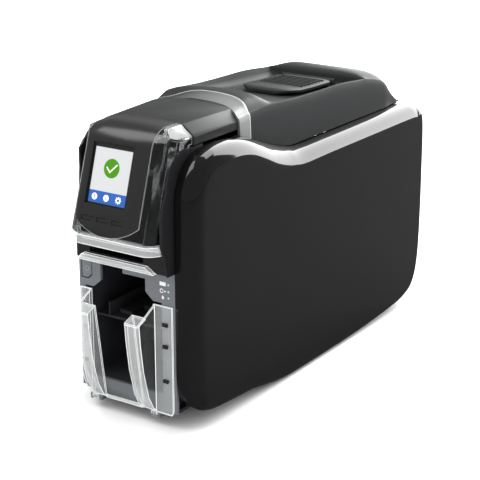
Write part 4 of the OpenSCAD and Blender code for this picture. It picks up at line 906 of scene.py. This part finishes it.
def tick_outline(cx, cz, size):
    """A tick sign: its left end, its foot and its right end, drawn with a square pen."""
    a, b, c, pen = (-0.36, 0.02), (-0.1, -0.24), (0.36, 0.24), 0.085 / math.sqrt(2)
    points = [(a[0] - pen, a[1]), (a[0], a[1] + pen), (b[0], b[1] + pen), (c[0], c[1] + pen), (c[0] + pen, c[1]),
              (b[0], b[1] - pen)]
    return [(cx + size * x, cz + size * z) for x, z in points]


def gear_outline(cx, cz, r):
    """A gear sign with eight teeth."""
    turns = [(math.radians(k * 45 + angle), reach * r) for k in range(8)
             for angle, reach in ((-15, 0.74), (-9, 1.0), (9, 1.0), (15, 0.74))]
    return [(cx + reach * math.cos(a), cz + reach * math.sin(a)) for a, reach in turns]


def button_outline(gap):
    """Outline of the power button's opening, widened by gap."""
    w, low, top = POWER_HALF_W + gap, -POWER_HALF_H - gap, POWER_HALF_H + min(gap, GAP_SHADOW_TOP)
    c = POWER_CORNER
    corners = [(-w, low), (w - c, low), (w, low + c), (w, top - c), (w - c, top), (-w, top)]
    return [(POWER_X + x, POWER_Z + z) for x, z in corners]


# ---------------------------------------------------------------- settings

def colour_property(label, text, default):
    return bpy.props.FloatVectorProperty(name=label, description=text, subtype="COLOR", size=3, min=0.0, max=1.0,
                                         default=default)


def length_property(label, text, default, low, high):
    """A length given here in millimetres and kept in metres."""
    return bpy.props.FloatProperty(name=label, description=text, default=default * MM, min=low * MM, max=high * MM,
                                   precision=4, subtype="DISTANCE", unit="LENGTH")


def share_property(label, text, default, high=1.0):
    return bpy.props.FloatProperty(name=label, description=text, default=default, min=0.0, max=high,
                                   subtype="FACTOR")


class CardPrinterSettings(bpy.types.PropertyGroup):
    """Sizes and colours of the printer's pieces and the strength of its lights"""
    edge_radius: length_property("Lower edge radius", "Rounding along the covers' bottom and rear", 6.0, 3.0, 9.0)
    shoulder_radius: length_property("Shoulder radius", "Rounding of the covers' front and top", 15.0, 8.0, 18.0)
    wave_radius: length_property("Wave radius", "Extra rounding where the covers' top steps down", 6.0, 0.0, 8.0)
    cover_crown: length_property("Cover crown", "How far the covers' flat swells outwards", 0.3, 0.0, 1.0)
    shoulder_fall: length_property("Shoulder fall", "Fall of the head's left shoulder", 8.0, 0.0, 12.0)
    brow_fall: length_property("Brow fall", "Fall of the lid's left front corner", 6.0, 0.0, 12.0)
    rib_pitch: length_property("Rib pitch", "Distance between grip ribs", 6.4, 3.0, 9.0)
    rib_radius: length_property("Rib radius", "Half the width of a grip rib", 1.4, 0.6, 2.0)
    rib_count: bpy.props.IntProperty(name="Latch ribs", description="Number of grip ribs on the latch", default=7,
                                     min=3, max=12)
    light_strength: share_property("Studio light", "Strength of the soft studio lights", 1.0, 5.0)
    ambient: share_property("Ambient light", "Strength of the white surroundings", 1.05, 3.0)
    ambient_mirror: share_property("Mirrored surroundings", "Strength of the surroundings in gloss", 0.25, 3.0)
    floor_mirror: share_property("Mirrored floor", "Grey of the floor in gloss", 0.10)
    cover_colour: colour_property("Side covers", "Gloss black of the side covers", (0.004, 0.004, 0.0045))
    lid_colour: colour_property("Lid", "Satin charcoal of the lid and cap", (0.026, 0.027, 0.0275))
    # painted highlight: the grey of the brow's crest line and, dimmed, of the lit right of its front face
    brow_colour: colour_property("Brow", "Bright crest of the lid's brow", (0.42, 0.43, 0.43))
    frame_colour: colour_property("Front frame", "Black of the frame beside the hood", (0.012, 0.012, 0.013))
    panel_colour: colour_property("Face panel", "Gloss black of the panel and buttons", (0.012, 0.012, 0.013))
    inner_colour: colour_property("Inner parts", "Matte black of the inner mouldings", (0.010, 0.010, 0.011))
    bezel_colour: colour_property("Bezel", "Smoked grey of the hopper bezel", (0.052, 0.057, 0.054))
    hood_colour: colour_property("Hood", "Tint of the clear hood", (0.55, 0.57, 0.58))
    # also the colour of the painted sheen and painted edge highlights of the clear mouldings
    guard_colour: colour_property("Hopper guard", "Tint of the clear hopper guard", (0.93, 0.95, 0.95))
    rubber_colour: colour_property("Rubber", "Black of the rollers and feet", (0.018, 0.018, 0.019))
    board_colour: colour_property("Boards", "Green of the circuit boards", (0.012, 0.10, 0.035))
    film_colour: colour_property("Ribbon film", "Dark violet of the ribbon", (0.05, 0.02, 0.10))
    spool_colour: colour_property("Ribbon cores", "Blue of the ribbon's cores", (0.03, 0.14, 0.36))
    acetal_colour: colour_property("Gears", "Natural acetal of the gears", (0.70, 0.67, 0.58))
    icon_colour: colour_property("Icons", "Pale ink of the small symbols", (0.72, 0.74, 0.74))
    faint_colour: colour_property("Faint ink", "Grey ink of the power mark", (0.26, 0.27, 0.27))


def settings():
    """The user's sizes and colours."""
    return bpy.context.scene.card_printer


def length(name):
    """A length from the settings, in millimetres."""
    return round(getattr(settings(), name) / MM, 4)


# ---------------------------------------------------------------- stage

# camera: direction in radians, distance and target in metres; focal length and optical centre for a square view
# VIEW units wide; sensor width in millimetres
AZIMUTH, ELEVATION = math.radians(33.713), math.radians(17.661)
DISTANCE, TARGET = 1.4073, Vector((0.0, 0.0, 0.130))
VIEW, FOCAL, CENTRE_X, CENTRE_Y, SENSOR = 480, 1456.3, 246.135, 220.862, 36.0
# half the floor's side in millimetres
FLOOR = 6000
# name, spot, aim, (width, height), power in watts
LIGHTS = [
    ("rear_softbox", (0.3, 2.0, 1.66), (0.3, 0.0, 1.66), (2.72, 3.28), 190.0),
    ("ceiling_softbox", (0.0, 1.45, 3.3), (0.0, 0.0, 0.2), (2.0, 0.9), 30.0),
    ("front_softbox", (-1.0, -0.8, 2.0), (0.0, -0.19, 0.25), (1.4, 1.4), 25.0),
]


def point_at(thing, spot, aim):
    """Moves a lamp or camera to a spot and turns it to look at aim."""
    thing.location = spot
    thing.rotation_euler = (aim - spot).to_track_quat("-Z", "Y").to_euler()


def floor_paper():
    """Matt white paper that glossy surfaces mirror darker than it is."""
    material, tree, shader = new_material("floor_paper")
    glossy = add_node(tree, "ShaderNodeLightPath").outputs["Is Glossy Ray"]
    dark = (*[settings().floor_mirror] * 3, 1.0)
    connect(tree, mix_colours(tree, glossy, (0.95, 0.95, 0.95, 1.0), dark), shader.inputs["Base Color"])
    shader.inputs["Roughness"].default_value = 0.9
    shader.inputs["Specular IOR Level"].default_value = 0.0
    return material


def light_world(scene):
    """A white studio that glossy surfaces mirror darker than it is."""
    world = scene.world = bpy.data.worlds.new("studio")
    world.use_nodes = True
    tree = world.node_tree
    glossy = add_node(tree, "ShaderNodeLightPath").outputs["Is Glossy Ray"]
    blend = tree.nodes.new("ShaderNodeMix")
    for index, value in ((0, glossy), (2, settings().ambient), (3, settings().ambient_mirror)):
        connect(tree, value, blend.inputs[index])
    background = tree.nodes["Background"].inputs
    background["Color"].default_value = (1.0, 1.0, 1.0, 1.0)
    connect(tree, blend.outputs[0], background["Strength"])


# ---------------------------------------------------------------- operators

class PrinterOperator:
    bl_options = {"REGISTER", "UNDO"}


class CARDPRINTER_OT_side_covers(PrinterOperator, bpy.types.Operator):
    """Build both glossy side covers"""
    bl_idname = "cardprinter.side_covers"
    bl_label = "Side Covers"

    def execute(self, context):
        for side, node in ((1, "right_cover"), (-1, "left_cover")):
            dress(build_cover(side), node, plastic("piano_black"), stands=True)
        return {"FINISHED"}


class CARDPRINTER_OT_lid(PrinterOperator, bpy.types.Operator):
    """Build the hinged lid"""
    bl_idname = "cardprinter.lid"
    bl_label = "Lid"

    def execute(self, context):
        lid = build_lid()
        dress(lid, "lid", plastic("lid_charcoal"), stands=True)
        paint_brow_highlights(lid)
        return {"FINISHED"}


class CARDPRINTER_OT_latch(PrinterOperator, bpy.types.Operator):
    """Build the ribbed latch paddle and its pivot barrel"""
    bl_idname = "cardprinter.latch"
    bl_label = "Latch"

    def execute(self, context):
        satin = plastic("lid_charcoal")
        dress(build_paddle(), "latch_paddle", satin, stands=True)
        first, pitch = PADDLE_FRONT + RIBS_FROM, length("rib_pitch")
        slope = (paddle_height(first + 40) - paddle_height(first)) / 40
        ribs = grow("latch_ribs", rib_tree(), {
            "Count": settings().rib_count, "Start": (0.0, first * MM, (paddle_height(first) + 0.1) * MM),
            "Step": (0.0, pitch * MM, slope * pitch * MM), "Length": RIB_LENGTH * MM,
            "Radius": length("rib_radius") * MM, "Height share": RIB_RISE, "Material": satin})
        dress(shade(ribs), "latch_paddle", satin)
        across = (-BARREL_HALF, BARREL_HALF)
        barrel = make_piece("latch_barrel", *tube_along_x(*across, BARREL_Y, BARREL_Z, BARREL_R, 24))
        tab = make_piece("latch_tab", *brick(*across, *TAB_Y, *TAB_Z))
        for piece in (barrel, tab):
            dress(soften(clean_up(piece), 0.3), "latch_paddle", satin)
        return {"FINISHED"}


class CARDPRINTER_OT_head(PrinterOperator, bpy.types.Operator):
    """Finish the hood, face panel, top cap, front frame and lips, rounding the panel and cap, with painted highlights
    on clear edges
    """
    bl_idname = "cardprinter.head"
    bl_label = "Head"

    def execute(self, context):
        hood = rounded_node("clear_hood", 0, smoked_clear(), falls=True)
        # painted highlights along the hood's sharp edges
        painted_edge_highlights(hood, "clear_hood", 0.15, sharp=28)
        rounded_node("face_panel", 0.35, plastic("panel_gloss"), falls=True)
        rounded_node("top_cap", 0.8, plastic("cap_charcoal"), falls=True)
        rounded_node("front_frame", 0, plastic("frame_black"), falls=True)
        clear_node("hood_lip", lip_zone, 0.25)
        clear_node("card_slot_ledge", lip_zone, 0.25)
        return {"FINISHED"}


class CARDPRINTER_OT_screen(PrinterOperator, bpy.types.Operator):
    """Light the display and round the three buttons"""
    bl_idname = "cardprinter.screen"
    bl_label = "Screen"

    def execute(self, context):
        x, low = SCREEN_X, -SCREEN_H / 2
        left, right = x - SCREEN_W / 2, x + SCREEN_W / 2
        white, blue = lit("screen_white", (0.95, 0.96, 0.97)), lit("screen_blue", (0.030, 0.110, 0.40))
        keys = [circle(x - KEY_PITCH - 1.0, KEY_UP, KEY_R, 28), circle(x - 1.0, KEY_UP, KEY_R, 28),
                gear_outline(x + 12.0, KEY_UP, GEAR_R)]
        signs = [rectangle(x - 14.0, -19.4, x - 13.2, -16.6), rectangle(x - 1.4, -20.0, x - 0.6, -18.2),
                 rectangle(x - 1.4, -17.6, x - 0.6, -16.8), circle(x + 12.0, KEY_UP, 1.2, 20)]
        # each layer stands 0.03 mm above the one that it covers
        for name, layer, outlines, material in (
                ("screen_field", 1, [rectangle(left, low, right, -low)], lit("screen_grey", (0.56, 0.57, 0.58))),
                ("screen_bar", 2, [rectangle(left, low, right, BAR_TOP)], blue),
                ("screen_disc", 2, [circle(x, DISC_UP, DISC_R, 48)], lit("screen_green", (0.060, 0.255, 0.003))),
                ("screen_tick", 3, [tick_outline(x, DISC_UP, TICK_SIZE)], white),
                ("screen_icons", 3, keys, white),
                ("screen_icon_marks", 4, signs, blue)):
            dress(flat_shape(name, outlines, layer * 0.03, on_face), "display_module", material)
        for node in ("left_button", "middle_button", "right_button"):
            rounded_node(node, 0.35, plastic("panel_gloss"))
        return {"FINISHED"}


class CARDPRINTER_OT_front(PrinterOperator, bpy.types.Operator):
    """Finish the hopper bezel and power button, add their symbols and paint shadow into the gap round the button"""
    bl_idname = "cardprinter.front"
    bl_label = "Hopper Front"

    def execute(self, context):
        rounded_node("front_bezel", 0, plastic("smoked"), merged=False)
        rounded_node("power_button", 0, plastic("smoked"))
        rounded_node("hopper_liner", 0.4, plastic("inner_black"))
        rounded_node("status_lights", 0.15, lit("status_glow", (0.55, 0.75, 0.60), 0.5))
        # a card, a ribbon with its arrow, and a drop
        signs = [rectangle(40.0, 130.9, 46.4, 134.3), *ring_pieces(42.0, 126.2, 2.0, 1.3, 20, 340, 12),
                 [(44.6, 125.4), (47.2, 126.2), (44.6, 127.0)],
                 [(43.2, 122.4), (44.6, 120.0), (43.2, 118.4), (41.8, 120.0)]]
        power = [*ring_pieces(POWER_X, 130.4, 2.4, 2.0, 120, 420, 20),
                 rectangle(POWER_X - 0.2, 130.8, POWER_X + 0.2, 133.2)]
        # a dark strip round the button: painted shadow of the gap between button and bezel
        inner, outer = button_outline(0.0), button_outline(GAP_SHADOW)
        gap_shadow = [[inner[k], inner[k + 1], outer[k + 1], outer[k]] for k in range(-1, 4)]
        for name, outlines, depth, y, body, finish in (
                ("bezel_symbols", signs, 0.05, BEZEL_Y, "printer", "icon_white"),
                ("power_symbol", power, 0.05, BUTTON_Y, "power_button", "icon_grey"),
                # the painted shadow in the power button's gap
                ("power_groove", gap_shadow, 0.03, BEZEL_Y, "printer", "inner_black")):
            finish_piece(flat_shape(name, outlines, depth, on_front(y)), body, plastic(finish))
        return {"FINISHED"}


class CARDPRINTER_OT_guard(PrinterOperator, bpy.types.Operator):
    """Finish the clear hopper guard, with painted sheen on its pale faces and painted highlights on its edges"""
    bl_idname = "cardprinter.guard"
    bl_label = "Hopper Guard"

    def execute(self, context):
        clear_node("hopper_guard", guard_zone, 0.26, merged=False)
        return {"FINISHED"}


class CARDPRINTER_OT_rear(PrinterOperator, bpy.types.Operator):
    """Finish the rear panel, bin, tray and feet and set the rear screws"""
    bl_idname = "cardprinter.rear"
    bl_label = "Rear"

    def execute(self, context):
        for node, width in (("rear_panel", 0), ("reject_bin", 0.6), ("base_tray", 0.4), ("rubber_feet", 0.8)):
            rounded_node(node, width, finish_for(node), merged=width > 0)
        steel = metal("bright_steel")
        screws = grow("rear_screws", screw_tree(), {
            "Columns": 2, "Rows": 2, "Width": 0.098, "Depth": 0.082, "Radius": 0.0027, "Head": 0.0014,
            "Material": steel})
        screws.data.transform(Matrix.Translation(SCREWS_AT) @ Matrix.Rotation(-math.pi / 2, 4, "X"))
        finish_piece(shade(screws), "printer", steel)
        return {"FINISHED"}


class CARDPRINTER_OT_works(PrinterOperator, bpy.types.Operator):
    """Give every remaining inner part its finish"""
    bl_idname = "cardprinter.works"
    bl_label = "Inner Works"

    def execute(self, context):
        for node, piece in frame["nodes"].items():
            if piece.hide_render:
                continue
            material = finish_for(node)
            if not piece.material_slots:
                piece.data.materials.append(material)
            for slot in piece.material_slots:
                slot.material = material
        return {"FINISHED"}


class CARDPRINTER_OT_stage(PrinterOperator, bpy.types.Operator):
    """Set the floor, the soft lights and the camera"""
    bl_idname = "cardprinter.stage"
    bl_label = "Stage"

    def execute(self, context):
        scene = context.scene
        scene.view_settings.view_transform = "Standard"
        corners = [(x, y, 0) for x, y in rectangle(-FLOOR, -FLOOR, FLOOR, FLOOR)]
        floor = make_piece("floor", corners, [(0, 1, 2, 3)])
        floor.data.materials.append(floor_paper())
        light_world(scene)
        for name, spot, aim, size, power in LIGHTS:
            lamp = bpy.data.lights.new(name, "AREA")
            lamp.shape = "RECTANGLE"
            lamp.size, lamp.size_y = size
            lamp.energy = power * settings().light_strength
            lamp_object = place(name, lamp)
            point_at(lamp_object, Vector(spot), Vector(aim))
            lamp_object.visible_camera = False
        camera = place("camera", bpy.data.cameras.new("camera"))
        away = Vector((math.sin(AZIMUTH) * math.cos(ELEVATION), -math.cos(AZIMUTH) * math.cos(ELEVATION),
                       math.sin(ELEVATION)))
        point_at(camera, TARGET + DISTANCE * away, TARGET)
        camera.data.sensor_width = SENSOR
        camera.data.lens = FOCAL / VIEW * SENSOR
        camera.data.shift_x = (VIEW / 2 - CENTRE_X) / VIEW
        camera.data.shift_y = (CENTRE_Y - VIEW / 2) / VIEW
        camera.data.clip_end = 50.0
        scene.camera = camera
        return {"FINISHED"}


class CARDPRINTER_PT_panel(bpy.types.Panel):
    """Lists the printer's pieces and settings"""
    bl_label = "Card Printer"
    bl_idname = "CARDPRINTER_PT_panel"
    bl_space_type = "VIEW_3D"
    bl_region_type = "UI"
    bl_category = "Card Printer"

    def draw(self, context):
        column = self.layout.column()
        for name in CardPrinterSettings.__annotations__:
            column.prop(context.scene.card_printer, name)
        for operator in OPERATORS:
            column.operator(operator.bl_idname)


OPERATORS = (CARDPRINTER_OT_side_covers, CARDPRINTER_OT_lid, CARDPRINTER_OT_latch, CARDPRINTER_OT_head,
             CARDPRINTER_OT_screen, CARDPRINTER_OT_front, CARDPRINTER_OT_guard, CARDPRINTER_OT_rear,
             CARDPRINTER_OT_works, CARDPRINTER_OT_stage)
CLASSES = (CardPrinterSettings, *OPERATORS, CARDPRINTER_PT_panel)


def register():
    for cls in CLASSES:
        bpy.utils.register_class(cls)
    bpy.types.Scene.card_printer = bpy.props.PointerProperty(type=CardPrinterSettings)


def unregister():
    del bpy.types.Scene.card_printer
    for cls in reversed(CLASSES):
        bpy.utils.unregister_class(cls)


def main():
    register()
    for operator in OPERATORS:
        group, name = operator.bl_idname.split(".")
        getattr(getattr(bpy.ops, group), name)()
    bpy.context.view_layer.update()


if __name__ == "__main__":
    main()
